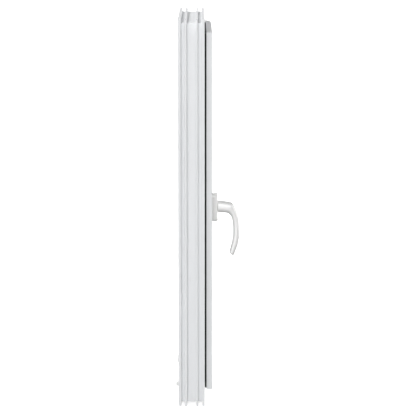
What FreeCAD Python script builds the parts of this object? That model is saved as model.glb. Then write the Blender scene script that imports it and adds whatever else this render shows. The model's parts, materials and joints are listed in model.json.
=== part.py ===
"""Inward-opening casement window: a white hollow-profile frame and sash, double glazing and a two-point lock.

Units are millimetres. X runs along the width, Z up, and Y through the wall: the room is towards -Y.
Y = 0 is the room face of the frame, Z = 0 its underside and X = 0 its middle.
Profiles are drawn in (u, v): u is the distance inwards from the frame's outer edge, v is the same as Y.
"""
import FreeCAD, Part
import math
import os

V = FreeCAD.Vector

# ---- driving dimensions -------------------------------------------------------------------------
WIDTH = 580.0            # frame, outside to outside
HEIGHT = 1030.0
DEPTH = 70.0             # frame profile, room face to weather face
HALF = WIDTH / 2.0

RIB_ROUND = 1.2          # rounding of each rib's room-side edge
RIB_DEPTH = 10.6         # open channels round the outside of the frame
RIBS = ((0.0, 7.0), (17.5, 22.7), (46.6, 52.6), (61.9, DEPTH))   # rib faces, from the room side
FRAME_LEG = 45.5         # height of the frame below the rebate
STOP_LEG = 65.5          # height of the weather stop
SEAL_GAP = 4.8           # room-side gap between sash overlap and frame
STOP_GAP = 4.0           # weather-side gap between sash and stop

OVERLAP = 8.0            # sash laps the frame by this much
REBATE_GAP = 12.0        # hardware space between sash edge and frame
SASH_PROUD = 20.4        # sash stands this far into the room
SASH_EDGE = FRAME_LEG + REBATE_GAP
SASH_LIP = FRAME_LEG - OVERLAP
SASH_BACK = DEPTH - 15.6 - STOP_GAP     # weather face of the sash
GLASS_FLOOR = 95.0       # bottom of the glazing rebate
SIGHT_LINE = 115.0       # edge of the visible glass
BEAD_EDGE = 93.0         # where the sash's room face ends and the bead begins

WALL = 2.8               # outer walls of the profiles
WEB = 1.5                # inner webs

PANE = 4.0
CAVITY = 16.0
GLAZING_SEAL = 3.0
LEG_FACE = SASH_BACK - 16.0             # face of the sash's weather-side glazing leg
GLASS_BACK = LEG_FACE - GLAZING_SEAL
GLASS_FRONT = GLASS_BACK - 2 * PANE - CAVITY
BEAD_FACE = GLASS_FRONT - GLAZING_SEAL
GLASS_EDGE = GLASS_FLOOR + 5.0
GLAZING_SEAL_U = 111.5   # centre line of both glazing seals
GROOVE = (GLAZING_SEAL_U - 1.2, GLAZING_SEAL_U + 1.2)   # and their grooves

GROOVE_V = 12.0          # centre line of the hardware groove
FOREND_W = 15.6
FOREND_T = 2.5
BACKSET = 17.0           # spindle centre behind the sash edge
SPINDLE_U = SASH_EDGE + BACKSET
SPINDLE_X = -HALF + SPINDLE_U
SPINDLE_Z = HEIGHT / 2.0 + 12.0
ROD_TRAVEL = 18.0        # for a quarter turn of the handle
PITCH_R = ROD_TRAVEL / (math.pi / 2.0)
TEETH = 18
RACK_PITCH = 2.0 * math.pi * PITCH_R / TEETH
RACK_LINE = SPINDLE_U - PITCH_R         # u of the rack's pitch line

CAM_HEIGHTS = (190.0, 840.0)            # locking points, closed
CAM_R = 5.0
KEEP_LIP = SASH_EDGE - 5.0              # top of the lip that a cam sits behind

HINGE_U = 30.0           # hinge axis
HINGE_V = -11.0
HINGE_X = HALF - HINGE_U
PIN_R = 3.0
KNUCKLE_R = 5.5
SLEEVE_R = 6.6
FIT = 0.05               # radial clearance of turning pins
CLEAR = 0.1              # clearance of parts that are screwed or pushed in
BODY_GAP = 0.35          # between a seal and the part it closes on, and round the lever

DRAIN_X = 133.0          # drain slots, either side of the middle
DRAIN_Z = 26.0

SIDES = ("lock", "hinge", "bottom", "top")


# ---- placing and basic shapes -------------------------------------------------------------------
def at(side, u, v, w=0.0):
    """The point u in from the outer edge on one side of the window, at depth v, w along that side."""
    return {
        "lock": V(-HALF + u, v, w),
        "hinge": V(HALF - u, v, w),
        "bottom": V(-HALF + w, v, u),
        "top": V(-HALF + w, v, HEIGHT - u),
    }[side]


def along(side):
    """Unit vector along a side, and that side's full length."""
    if side in ("lock", "hinge"):
        return V(0, 0, 1), HEIGHT
    return V(1, 0, 0), WIDTH


def box_between(a, b):
    """Box with a and b as opposite corners."""
    low = V(min(a.x, b.x), min(a.y, b.y), min(a.z, b.z))
    high = V(max(a.x, b.x), max(a.y, b.y), max(a.z, b.z))
    size = high - low
    return Part.makeBox(size.x, size.y, size.z, low)


def block(side, u, v, w):
    """Box given by its ranges in u, v and w on one side."""
    return box_between(at(side, u[0], v[0], w[0]), at(side, u[1], v[1], w[1]))


def cylinder(start, end, radius):
    """Solid cylinder between two points."""
    axis = end - start
    return Part.makeCylinder(radius, axis.Length, start, axis)


def tube(start, end, outer, inner):
    """Cylinder with a bore right through it."""
    return cylinder(start, end, outer).cut(cylinder(start, end, inner))


def rounded_wire(points, place):
    """Closed wire through (a, b) or (a, b, radius) points, with an arc at each corner that has a radius."""
    corners = []
    for i, point in enumerate(points):
        here = V(point[0], point[1], 0)
        radius = point[2] if len(point) > 2 else 0.0
        if not radius:
            corners.append((here, None, here))
            continue
        before = V(*points[i - 1][:2], 0) - here
        after = V(*points[(i + 1) % len(points)][:2], 0) - here
        half = before.getAngle(after) / 2.0
        before.normalize()
        after.normalize()
        bisector = (before + after).normalize()
        centre = here + bisector * (radius / math.sin(half))
        reach = radius / math.tan(half)
        corners.append((here + before * reach, centre - bisector * radius, here + after * reach))
    edges = []
    for i, (entry, middle, leave) in enumerate(corners):
        if middle is not None:
            edges.append(Part.Arc(*(place(p.x, p.y) for p in (entry, middle, leave))).toShape())
        following = corners[(i + 1) % len(corners)][0]
        if (following - leave).Length > 1e-6:
            edges.append(Part.makeLine(place(leave.x, leave.y), place(following.x, following.y)))
    return Part.Wire(edges)


def prism(points, place, sweep, holes=()):
    """Solid swept along a vector from a rounded outline with holes."""
    wires = [rounded_wire(loop, place) for loop in (points, *holes)]
    face = Part.makeFace(wires, "Part::FaceMakerBullseye") if holes else Part.Face(wires[0])
    solid = face.extrude(sweep)
    return solid.Solids[0]


def rectangle(u, v):
    """Outline of a rectangle in (u, v)."""
    return [(u[0], v[0]), (u[1], v[0]), (u[1], v[1]), (u[0], v[1])]


def bar(side, outline, holes=(), start=0.0, end=None):
    """Straight length of a profile on one side, square-ended."""
    direction, length = along(side)
    end = length if end is None else end
    return prism(outline, lambda a, b: at(side, a, b, start), direction * (end - start), holes)


def mitre_wedge(side):
    """Room of one side between the two 45 degree mitres."""
    reach = 150.0
    _, length = along(side)
    outline = [(0, 0), (0, length), (reach, length - reach), (reach, reach)]
    return prism(outline, lambda u, w: at(side, u, -60.0, w), V(0, 160.0, 0))


def mitred(side, outline, holes=()):
    """Length of a profile cut at 45 degrees at both ends."""
    return bar(side, outline, holes).common(mitre_wedge(side)).Solids[0]


def ring_of(outline, holes=()):
    """The same profile on all four sides, as four mitred solids."""
    return [mitred(side, outline, holes) for side in SIDES]


def without(shape, cutters):
    """The shape less each cutter that it meets."""
    near = [c for c in cutters if shape.BoundBox.intersect(c.BoundBox)]
    return shape.cut(near) if near else shape


# ---- screws -------------------------------------------------------------------------------------
def cross_recess(point, direction, size):
    """Cross-shaped driver recess cut into a screw head, as its two arms."""
    across = V(0, 0, 1) if abs(direction.z) < 0.5 else V(1, 0, 0)
    other = direction.cross(across)
    depth = size * 0.45
    arms = []
    for long_way, short_way in ((across, other), (other, across)):
        corner = point - long_way * (size / 2) - short_way * (size / 9)
        wire = Part.makePolygon([
            corner, corner + long_way * size,
            corner + long_way * size + short_way * (size / 4.5),
            corner + short_way * (size / 4.5), corner])
        arms.append(Part.Face(wire).extrude(direction * depth))
    return arms


def countersunk_screw(point, direction, head_r, shank_r, length):
    """Countersunk screw with its flat head at point, driven along direction."""
    head = Part.makeCone(head_r, shank_r, head_r - shank_r, point, direction)
    neck = point + direction * (head_r - shank_r)
    shank = cylinder(neck, point + direction * (length - 2 * shank_r), shank_r)
    tip = Part.makeCone(shank_r, 0.4, 2 * shank_r, point + direction * (length - 2 * shank_r), direction)
    return head.fuse([shank, tip]).cut(cross_recess(point, direction, head_r * 1.2)).Solids[0]


def screw_hole(point, direction, head_r, shank_r, length):
    """Countersunk hole that takes such a screw with a little clearance."""
    head_r, shank_r = head_r + CLEAR, shank_r + CLEAR
    back = point - direction * 0.5
    mouth = cylinder(back, point, head_r)
    cone = Part.makeCone(head_r, shank_r, head_r - shank_r, point, direction)
    return mouth.fuse([cone, cylinder(point, point + direction * (length + CLEAR), shank_r)])


class Screws:
    """A set of identical screws and the holes they need."""

    def __init__(self, points, direction, head_r, shank_r, length):
        self.each = [(p, direction, head_r, shank_r, length) for p in points]

    def solids(self):
        return [countersunk_screw(*spec) for spec in self.each]

    def holes(self):
        return [screw_hole(*spec) for spec in self.each]


# ---- profile sections ---------------------------------------------------------------------------
def frame_outline():
    """Outside of the frame profile, with its four ribs, rebate and weather stop."""
    points = [(0, RIBS[0][0], RIB_ROUND), (0, RIBS[0][1], 0.6)]
    for low, high in RIBS[1:]:
        points += [(RIB_DEPTH, points[-1][1], 0.5), (RIB_DEPTH, low, 0.5), (0, low, RIB_ROUND), (0, high, 0.6)]
    stop_face = SASH_BACK + STOP_GAP
    points += [
        (STOP_LEG - 2.0, DEPTH, 2.5), (STOP_LEG, stop_face + 3.0, 1.5), (STOP_LEG, stop_face, 0.6),
        (STOP_LEG - 2.0, stop_face), (STOP_LEG - 2.0, stop_face + 2.2),
        (STOP_LEG - 5.0, stop_face + 2.2), (STOP_LEG - 5.0, stop_face),
        (FRAME_LEG, stop_face, 1.2), (FRAME_LEG, 0, 1.5)]
    return points


def frame_chambers():
    """Hollow chambers of the frame profile."""
    inner = RIB_DEPTH + WALL
    outer = FRAME_LEG - WALL
    stop_in = SASH_BACK + STOP_GAP + WALL + 2.0
    return [
        rectangle((inner, outer), (WALL, 11.0)),
        rectangle((inner, outer), (11.0 + WEB, 44.0)),
        rectangle((inner, outer), (44.0 + WEB, 52.5)),
        [(inner, 54.0), (outer, 54.0), (outer, stop_in), (STOP_LEG - WALL - 2.0, stop_in),
         (STOP_LEG - WALL - 2.0, DEPTH - WALL), (inner, DEPTH - WALL)],
    ]


def sash_outline():
    """Outside of the sash profile, with overlap, hardware groove and glazing rebate."""
    shoulder = FOREND_W / 2 + CLEAR
    channel = 6.0
    floor = SASH_EDGE + 8.5
    return [
        (SASH_LIP, -SASH_PROUD, 2.5), (BEAD_EDGE, -SASH_PROUD, 0.8), (BEAD_EDGE, -14.0),
        (GLASS_FLOOR, -12.5), (GLASS_FLOOR, -10.5), (91.5, -10.5), (91.5, -7.5), (GLASS_FLOOR, -7.5),
        (GLASS_FLOOR, LEG_FACE), (GROOVE[0], LEG_FACE), (GROOVE[0], LEG_FACE + 2.2), (GROOVE[1], LEG_FACE + 2.2),
        (GROOVE[1], LEG_FACE), (SIGHT_LINE, LEG_FACE), (SIGHT_LINE, LEG_FACE + 3.0, 1.5),
        (108.0, SASH_BACK, 2.5), (SASH_EDGE, SASH_BACK, 1.5),
        (SASH_EDGE, GROOVE_V + shoulder), (SASH_EDGE + FOREND_T, GROOVE_V + shoulder),
        (SASH_EDGE + FOREND_T, GROOVE_V + channel), (floor, GROOVE_V + channel),
        (floor, GROOVE_V - channel), (SASH_EDGE + FOREND_T, GROOVE_V - channel),
        (SASH_EDGE + FOREND_T, GROOVE_V - shoulder), (SASH_EDGE, GROOVE_V - shoulder),
        (SASH_EDGE, -SEAL_GAP), (44.5, -SEAL_GAP), (44.5, -SEAL_GAP - 2.2),
        (41.5, -SEAL_GAP - 2.2), (41.5, -SEAL_GAP), (SASH_LIP, -SEAL_GAP, 1.0)]


def sash_chambers():
    """Hollow chambers of the sash profile."""
    back = SASH_BACK - WALL
    room = -SASH_PROUD + WALL
    past_floor = SASH_EDGE + 8.5 + WALL
    return [
        [(SASH_LIP + WALL, room), (88.5, room), (88.5, 1.0), (SASH_EDGE + WALL, 1.0),
         (SASH_EDGE + WALL, -SEAL_GAP - WALL - 2.2), (SASH_LIP + WALL, -SEAL_GAP - WALL - 2.2)],
        rectangle((past_floor, 88.5), (1.0 + WEB, 21.0 - WEB)),
        rectangle((SASH_EDGE + FOREND_T + 0.8, GLASS_FLOOR - WALL), (22.6, LEG_FACE - WEB)),
        [(SASH_EDGE + WALL, LEG_FACE + 0.3), (GLASS_FLOOR - WALL, LEG_FACE + 0.3),
         (GLASS_FLOOR - WALL, LEG_FACE + 4.8), (106.0, LEG_FACE + 4.8), (106.0, back), (SASH_EDGE + WALL, back)],
    ]


def bead_outline():
    """Glazing bead with a sloping room face and a clip foot."""
    return [
        (BEAD_EDGE + CLEAR, -15.6, 0.6), (104.0, -15.6, 4.0), (SIGHT_LINE, -10.5, 2.0),
        (SIGHT_LINE, BEAD_FACE, 0.6), (GROOVE[1], BEAD_FACE), (GROOVE[1], BEAD_FACE - 2.2), (GROOVE[0], BEAD_FACE - 2.2),
        (GROOVE[0], BEAD_FACE), (108.0, BEAD_FACE, 0.5), (108.0, -5.0, 1.0), (GLASS_FLOOR + CLEAR, -5.0),
        (GLASS_FLOOR + CLEAR, -7.6), (91.7, -7.6), (91.7, -10.4), (GLASS_FLOOR + CLEAR, -10.4),
        (GLASS_FLOOR + CLEAR, -12.6), (BEAD_EDGE + CLEAR, -14.1)]


def bead_chamber():
    """The bead's hollow."""
    return [(97.0, -13.4), (104.0, -13.4), (111.5, -9.0), (111.5, -7.0), (97.0, -7.0)]


# ---- frame --------------------------------------------------------------------------------------
def mitre_grooves(face_v, inner, outer):
    """V grooves left by cleaning the welds, along the four mitres of one face, between two u values."""
    width, depth = 1.1, 0.35
    grooves = []
    for x_sign in (-1, 1):
        for corner_z, z_sign in ((0.0, 1), (HEIGHT, -1)):
            start = V(x_sign * (HALF - inner), face_v, corner_z + z_sign * inner)
            end = V(x_sign * (HALF - outer), face_v, corner_z + z_sign * outer)
            run = end - start
            across = V(run.z, 0, -run.x).normalize()
            inward = depth if face_v <= 0 else -depth
            wire = Part.makePolygon([
                start - across * (width / 2) + V(0, -inward * 0.1, 0),
                start + across * (width / 2) + V(0, -inward * 0.1, 0),
                start + V(0, inward, 0),
                start - across * (width / 2) + V(0, -inward * 0.1, 0)])
            grooves.append(Part.Face(wire).extrude(run))
    return grooves


def drain_slots():
    """Slots that let water out of the sill: two in the weather face and two in the rebate floor."""
    slots = []
    for x in (-DRAIN_X, DRAIN_X):
        slots.append(box_between(V(x - 14, DEPTH - WALL - 1, DRAIN_Z - 2.5), V(x + 14, DEPTH + 1, DRAIN_Z + 2.5)))
    for x in (-DRAIN_X + 55, DRAIN_X - 55):
        slots.append(box_between(V(x - 14, 46.5, FRAME_LEG - WALL - 1), V(x + 14, 51.5, FRAME_LEG + 1)))
    return slots


def drain_cap(x):
    """Hooded cap over one drain slot, open at the bottom."""
    long_half, tall, proud = 21.0, 12.0, 8.5
    side_view = [
        (DEPTH, DRAIN_Z - 6.0), (DEPTH + proud, DRAIN_Z - 6.0, 0.6), (DEPTH + proud - 1.5, DRAIN_Z + 1.0, 3.0),
        (DEPTH + 2.0, DRAIN_Z - 6.0 + tall, 1.5), (DEPTH, DRAIN_Z - 6.0 + tall)]
    hollow = [
        (DEPTH - 1.0, DRAIN_Z - 7.0), (DEPTH + proud - 1.4, DRAIN_Z - 7.0),
        (DEPTH + proud - 2.8, DRAIN_Z + 0.5, 2.0), (DEPTH + 2.0, DRAIN_Z + 4.0), (DEPTH - 1.0, DRAIN_Z + 4.0)]
    body = prism(side_view, lambda y, z: V(x - long_half, y, z), V(2 * long_half, 0, 0))
    ends = [e for e in body.Edges if e.Length > 5 and abs(e.CenterOfMass.x - x) > long_half - 0.1
            and e.CenterOfMass.y > DEPTH + 1 and e.CenterOfMass.z > DRAIN_Z - 5]
    body = body.makeFillet(0.8, ends)
    inner = prism(hollow, lambda y, z: V(x - long_half + 1.4, y, z), V(2 * long_half - 2.8, 0, 0))
    ribs = [box_between(V(x + dx - 0.6, DEPTH, DRAIN_Z - 4.5), V(x + dx + 0.6, DEPTH + proud - 2.2, DRAIN_Z + 4.0))
            for dx in (-7.0, 7.0)]
    shell = body.cut(inner).fuse([rib.common(body) for rib in ribs])
    return shell.removeSplitter().Solids[0]


def frame_steel_section():
    """Galvanised box section that stiffens the frame."""
    u = (RIB_DEPTH + WALL + 0.5, FRAME_LEG - WALL - 0.5)
    v = (13.0, 43.5)
    wall = 1.5
    return rectangle(u, v), rectangle((u[0] + wall, u[1] - wall), (v[0] + wall, v[1] - wall))


def steels(section, hole, sides, inset):
    """Square-cut stiffeners on two sides, kept clear of the welded corners."""
    found = []
    for side in sides:
        _, length = along(side)
        found.append(bar(side, section, [hole], inset, length - inset))
    return found


def seal_outline(u, root, face, half_width, gap):
    """Push-in seal: a foot in its groove and a rounded lip that stops a gap short of the other part.

    root is the face that holds the seal and face the one that it closes on."""
    step = 1.0 if face > root else -1.0
    base, crown = root + 0.05 * step, face - gap * step
    return [
        (u - 1.1, root - 2.0 * step), (u + 1.1, root - 2.0 * step), (u + 1.1, base),
        (u + half_width, base, 0.4), (u + half_width, crown - 0.8 * step, 0.8),
        (u + half_width * 0.35, crown, 0.6), (u - half_width * 0.35, crown, 0.6),
        (u - half_width, crown - 0.8 * step, 0.8), (u - half_width, base, 0.4), (u - 1.1, base)]


# ---- hinges -------------------------------------------------------------------------------------
PLATE_U = (8.0, 28.5)
PLATE_T = 3.0
BOTTOM_PLATE = (28.0, 96.0)
TOP_PLATE = (932.0, 996.0)
BOTTOM_KNUCKLE = (41.0, 61.2)           # on the frame
BOTTOM_SASH_KNUCKLE = (62.0, 98.0)
TOP_KNUCKLES = ((934.0, 948.0), (980.0, 994.0))
TOP_SASH_KNUCKLE = (948.8, 979.2)
ARM_V = (-SEAL_GAP + 0.2, -1.2)         # arm runs in the seal gap
ARM_LEAF = 92.0                         # length of the leaf in the hardware groove


def on_axis(z):
    """Point on the hinge axis."""
    return V(HINGE_X, HINGE_V, z)


def frame_knuckle(z_range, bore):
    """Knuckle joined to its plate by a solid web."""
    low, high = z_range
    web = block("hinge", (19.0, HINGE_U - 1.0), (HINGE_V, -PLATE_T + 0.2), (low, high))
    web = web.common(prism(
        [(19.0, -PLATE_T + 0.2), (HINGE_U - 1.0, -PLATE_T + 0.2), (HINGE_U - 1.0, HINGE_V), (26.0, HINGE_V, 3.0)],
        lambda u, v: at("hinge", u, v, low), V(0, 0, high - low)))
    knuckle = cylinder(on_axis(low), on_axis(high), KNUCKLE_R).fuse(web)
    return knuckle.cut(cylinder(on_axis(low - 1), on_axis(high + 1), bore))


def hinge_plate(z_range):
    """Flat plate with rounded corners, screwed to the frame's room face."""
    low, high = z_range
    return prism(
        [(PLATE_U[0], low, 4.0), (PLATE_U[1], low, 1.0), (PLATE_U[1], high, 1.0), (PLATE_U[0], high, 4.0)],
        lambda u, z: at("hinge", u, -PLATE_T, z), V(0, PLATE_T, 0))


def bracket_screws():
    """Screws of both hinge plates."""
    heights = [BOTTOM_PLATE[0] + 9, sum(BOTTOM_PLATE) / 2, BOTTOM_PLATE[1] - 9,
               TOP_PLATE[0] + 9, sum(TOP_PLATE) / 2, TOP_PLATE[1] - 9]
    return Screws([at("hinge", 14.5, -PLATE_T, z) for z in heights], V(0, 1, 0), 4.0, 2.1, 36.0)


def hinge_cover(z_range, knuckles):
    """Snap-on cover over a hinge plate."""
    low, high = z_range[0] - 1.2, z_range[1] + 1.2
    u0, u1 = PLATE_U[0] - 1.2, PLATE_U[1] - 1.3
    outer = prism(
        [(u0, low, 5.0), (u1, low, 1.0), (u1, high, 1.0), (u0, high, 5.0)],
        lambda u, z: at("hinge", u, -PLATE_T - 1.3, z), V(0, PLATE_T + 1.2, 0))
    rim = [e for e in outer.Edges if abs(e.CenterOfMass.y + PLATE_T + 1.3) < 0.01]
    outer = outer.makeFillet(0.7, rim)
    cavity = block("hinge", (u0 + 1.1, u1 + 1.0), (-PLATE_T - 0.1, 0.5), (low + 1.1, high - 1.1))
    cover = outer.cut(cavity)
    return cover.cut([block("hinge", (17.5, 31.0), (-16.0, 0.5), (a - 0.2, b + 0.2)) for a, b in knuckles])


def hinge_arm(knuckle, leaf):
    """Sash half of a hinge: knuckle, a strap through the seal gap and a leaf in the hardware groove."""
    low, high = knuckle
    strap = block("hinge", (HINGE_U, SASH_EDGE - CLEAR), ARM_V, (low, high))
    fold = block("hinge", (SASH_EDGE - 2.7, SASH_EDGE - CLEAR), (ARM_V[0], GROOVE_V + 7.6), (low, high))
    key = block("hinge", (SASH_EDGE - 2.7, SASH_EDGE + FOREND_T - CLEAR), (GROOVE_V - 7.6, GROOVE_V + 7.6), leaf)
    barrel = cylinder(on_axis(low), on_axis(high), KNUCKLE_R)
    neck = block("hinge", (HINGE_U, HINGE_U + 4.0), (HINGE_V + 3.0, ARM_V[1]), (low, high))
    arm = barrel.fuse([neck, strap, fold, key]).removeSplitter()
    return arm.cut(cylinder(on_axis(low - 1), on_axis(high + 1), PIN_R + FIT)).Solids[0]


def sleeves(z_ranges, opening):
    """Plastic sleeves round knuckles, open towards the strap or web given by its corner points in (u, v)."""
    found = []
    for low, high in z_ranges:
        sleeve = tube(on_axis(low + 0.1), on_axis(high - 0.1), SLEEVE_R, KNUCKLE_R + FIT)
        found.append(sleeve.cut(block("hinge", *opening, (low - 1, high + 1))).Solids[0])
    return found


def hinge_pin(low, high, cap_z):
    """Steel pin with a domed plastic-looking head at one end."""
    pin = cylinder(on_axis(low), on_axis(high), PIN_R)
    head = cylinder(on_axis(cap_z[0]), on_axis(cap_z[1]), SLEEVE_R)
    rim_z = max(cap_z, key=lambda z: abs(z - (low + high) / 2))
    rim = [e for e in head.Edges if abs(e.CenterOfMass.z - rim_z) < 0.01 and len(e.Vertexes) == 1]
    return pin.fuse(head.makeFillet(1.4, rim)).removeSplitter().Solids[0]


# ---- lock ---------------------------------------------------------------------------------------
def keeps():
    """Striker plates on the lock-side rebate: a base with a lip on the room side of each cam."""
    found = []
    for z in CAM_HEIGHTS:
        base = prism(
            [(3.0, z - 29.0, 3.0), (20.6, z - 29.0, 3.0), (20.6, z + 29.0, 3.0), (3.0, z + 29.0, 3.0)],
            lambda v, w: at("lock", FRAME_LEG + 0.02, v, w), V(2.0, 0, 0))
        lip = prism(
            [(z - 11.0, FRAME_LEG + 1.0), (z + 11.0, FRAME_LEG + 1.0), (z + 11.0, KEEP_LIP - 2.5, 0.8),
             (z + 8.0, KEEP_LIP, 1.5), (z - 8.0, KEEP_LIP, 1.5), (z - 11.0, KEEP_LIP - 2.5, 0.8)],
            lambda w, u: at("lock", u, 3.0, w), V(0, 3.6, 0))
        found.append(base.fuse(lip).removeSplitter().Solids[0])
    return found


def keep_screws():
    """Two screws through each keep."""
    points = [at("lock", FRAME_LEG + 2.02, GROOVE_V + 1.0, z + dz) for z in CAM_HEIGHTS for dz in (-22.5, 22.5)]
    return Screws(points, V(-1, 0, 0), 3.6, 2.0, 24.0)


FOREND_ENDS = (78.0, HEIGHT - 78.0)
FOREND_SCREW_Z = (90.0, 300.0, 430.0, 600.0, 730.0, HEIGHT - 90.0)
ROD_ENDS = (130.0, 880.0)
RACK_HALF = 40.0
ROD_U = (SASH_EDGE + FOREND_T + 0.2, SASH_EDGE + FOREND_T + 2.4)
CASE_Z = 52.0
CASE_U = (SASH_EDGE + FOREND_T, SPINDLE_U + 15.0)
CASE_V = (GROOVE_V - 5.8, GROOVE_V + 5.8)
HUB_R = 6.4
ROSETTE_SCREW_Z = 21.5
ROSETTE_T = 14.5


def forend():
    """Steel faceplate in the hardware groove, slotted for the cams."""
    plate = prism(
        [(GROOVE_V - 7.8, FOREND_ENDS[0], 3.0), (GROOVE_V + 7.8, FOREND_ENDS[0], 3.0),
         (GROOVE_V + 7.8, FOREND_ENDS[1], 3.0), (GROOVE_V - 7.8, FOREND_ENDS[1], 3.0)],
        lambda v, w: at("lock", SASH_EDGE, v, w), V(FOREND_T - 0.02, 0, 0))
    slots = []
    for z in CAM_HEIGHTS:
        slots.append(prism(
            [(GROOVE_V - 3.4, z - ROD_TRAVEL - 4.2, 3.3), (GROOVE_V + 3.4, z - ROD_TRAVEL - 4.2, 3.3),
             (GROOVE_V + 3.4, z + 4.2, 3.3), (GROOVE_V - 3.4, z + 4.2, 3.3)],
            lambda v, w: at("lock", SASH_EDGE - 1, v, w), V(FOREND_T + 2, 0, 0)))
    return plate.cut(slots)


def forend_screws():
    """Screws that hold the faceplate, set beside the rod's run."""
    points = [at("lock", SASH_EDGE, GROOVE_V, z) for z in FOREND_SCREW_Z]
    return Screws(points, V(1, 0, 0), 3.4, 1.9, 28.0)


def rod_slots():
    """Long holes in the rod where the faceplate screws pass."""
    slots = []
    for z in FOREND_SCREW_Z:
        slots.append(block("lock", (ROD_U[0] - 1, RACK_LINE + 3), (GROOVE_V - 2.6, GROOVE_V + 2.6),
                           (z - 4.0, z + ROD_TRAVEL + 4.0)))
    return slots


def rack_outline(z_from, z_to):
    """Toothed edge of the rod in (z, u), closed back along the rod."""
    module = RACK_PITCH / math.pi
    tip, root = RACK_LINE + 0.85 * module, RACK_LINE - 1.15 * module
    flank = math.tan(math.radians(20.0))
    half = RACK_PITCH / 4 - 0.12
    points = [(z_from, root)]
    count = int((z_to - z_from) / 2 / RACK_PITCH)
    for k in range(-count, count):
        centre = SPINDLE_Z + (k + 0.5) * RACK_PITCH
        base, top = half + (RACK_LINE - root) * flank, half - (tip - RACK_LINE) * flank
        points += [(centre - base, root), (centre - top, tip), (centre + top, tip), (centre + base, root)]
    return points + [(z_to, root), (z_to, ROD_U[0]), (z_from, ROD_U[0])]


def drive_rod():
    """Flat rod under the faceplate, thickened to a rack beside the gear."""
    v_low, v_high = GROOVE_V - 5.4, GROOVE_V + 5.4
    flat = block("lock", ROD_U, (v_low, v_high), ROD_ENDS)
    outline = rack_outline(SPINDLE_Z - RACK_HALF, SPINDLE_Z + RACK_HALF)
    rack = prism(outline, lambda z, u: at("lock", u, GROOVE_V - 3.2, z), V(0, 6.4, 0))
    window = block("lock", (ROD_U[0] + 0.9, ROD_U[1] + 1), (v_low - 1, v_high + 1),
                   (SPINDLE_Z - RACK_HALF - 2, SPINDLE_Z + RACK_HALF + 2))
    return flat.cut(window).fuse(rack).removeSplitter().cut(rod_slots()).Solids


def cams():
    """Roller cams riveted to the rod."""
    found = []
    for z in CAM_HEIGHTS:
        shank = cylinder(at("lock", ROD_U[0] - 0.02, GROOVE_V, z), at("lock", SASH_EDGE - 1.0, GROOVE_V, z), 3.0)
        roller = cylinder(at("lock", SASH_EDGE - 0.6, GROOVE_V, z), at("lock", FRAME_LEG + 3.2, GROOVE_V, z), CAM_R)
        rim = [e for e in roller.Edges if len(e.Vertexes) == 1 and e.CenterOfMass.x < -HALF + FRAME_LEG + 4]
        found.append(shank.fuse(roller.makeFillet(0.8, rim)).removeSplitter().Solids[0])
    return found


def pinion_outline():
    """Involute gear outline about the spindle, in (x, z)."""
    module = RACK_PITCH / math.pi
    base_r = PITCH_R * math.cos(math.radians(20.0))
    tip_r, root_r = PITCH_R + 0.85 * module, PITCH_R - 1.15 * module

    def involute(radius):
        pressure = math.acos(min(1.0, base_r / radius))
        return math.tan(pressure) - pressure

    backlash = 0.12 / PITCH_R
    half_at_pitch = math.pi / (2 * TEETH) - backlash + involute(PITCH_R)
    points = []
    for k in range(TEETH):
        middle = math.pi + 2 * math.pi * k / TEETH
        radii = [root_r, base_r] + [base_r + (tip_r - base_r) * s for s in (0.4, 0.75, 1.0)]
        rising = [(r, middle - (half_at_pitch - involute(r))) for r in radii]
        falling = [(r, 2 * middle - a) for r, a in reversed(rising)]
        points += [(SPINDLE_X + r * math.cos(a), SPINDLE_Z + r * math.sin(a)) for r, a in rising + falling]
    return points


def pinion():
    """Gear with hubs on both sides and a square hole for the spindle."""
    thick = 3.0
    gear = prism(pinion_outline(), lambda x, z: V(x, GROOVE_V - thick, z), V(0, 2 * thick, 0))
    hub = handle_axis(HUB_R, CASE_V[0] + 0.2, CASE_V[1] - 0.2)
    return gear.fuse(hub).cut(square_bar(3.5 + FIT, CASE_V[0] - 1, CASE_V[1] + 1)).removeSplitter().Solids[0]


def square_bar(half, y_from, y_to):
    """Square bar on the spindle axis."""
    return box_between(V(SPINDLE_X - half, y_from, SPINDLE_Z - half), V(SPINDLE_X + half, y_to, SPINDLE_Z + half))


def handle_axis(radius, y_from, y_to, dz=0.0):
    """Round bar or hole parallel to the spindle, dz above it."""
    return cylinder(V(SPINDLE_X, y_from, SPINDLE_Z + dz), V(SPINDLE_X, y_to, SPINDLE_Z + dz), radius)


def gearbox():
    """Die-cast case with its cover plate. The case is open on the cover side and towards the rod."""
    z_range = (SPINDLE_Z - CASE_Z, SPINDLE_Z + CASE_Z)
    split = CASE_V[1] - 1.8
    case = block("lock", CASE_U, (CASE_V[0], split - 0.05), z_range)
    lid = block("lock", CASE_U, (split, CASE_V[1]), z_range)
    run = block("lock", (CASE_U[0] - 1, RACK_LINE + 1.6), (CASE_V[0] - 1, CASE_V[1] + 1), (z_range[0] - 1, z_range[1] + 1))
    well = handle_axis(PITCH_R + 1.6, CASE_V[0] + 2.0, split + 1)
    holes = [handle_axis(HUB_R + FIT, CASE_V[0] - 1, CASE_V[1] + 1)]
    holes += [handle_axis(2.6, CASE_V[0] - 1, CASE_V[1] + 1, dz) for dz in (-ROSETTE_SCREW_Z, ROSETTE_SCREW_Z)]
    return case.cut([run, well, *holes]).Solids[0], lid.cut([run, *holes]).Solids[0]


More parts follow.
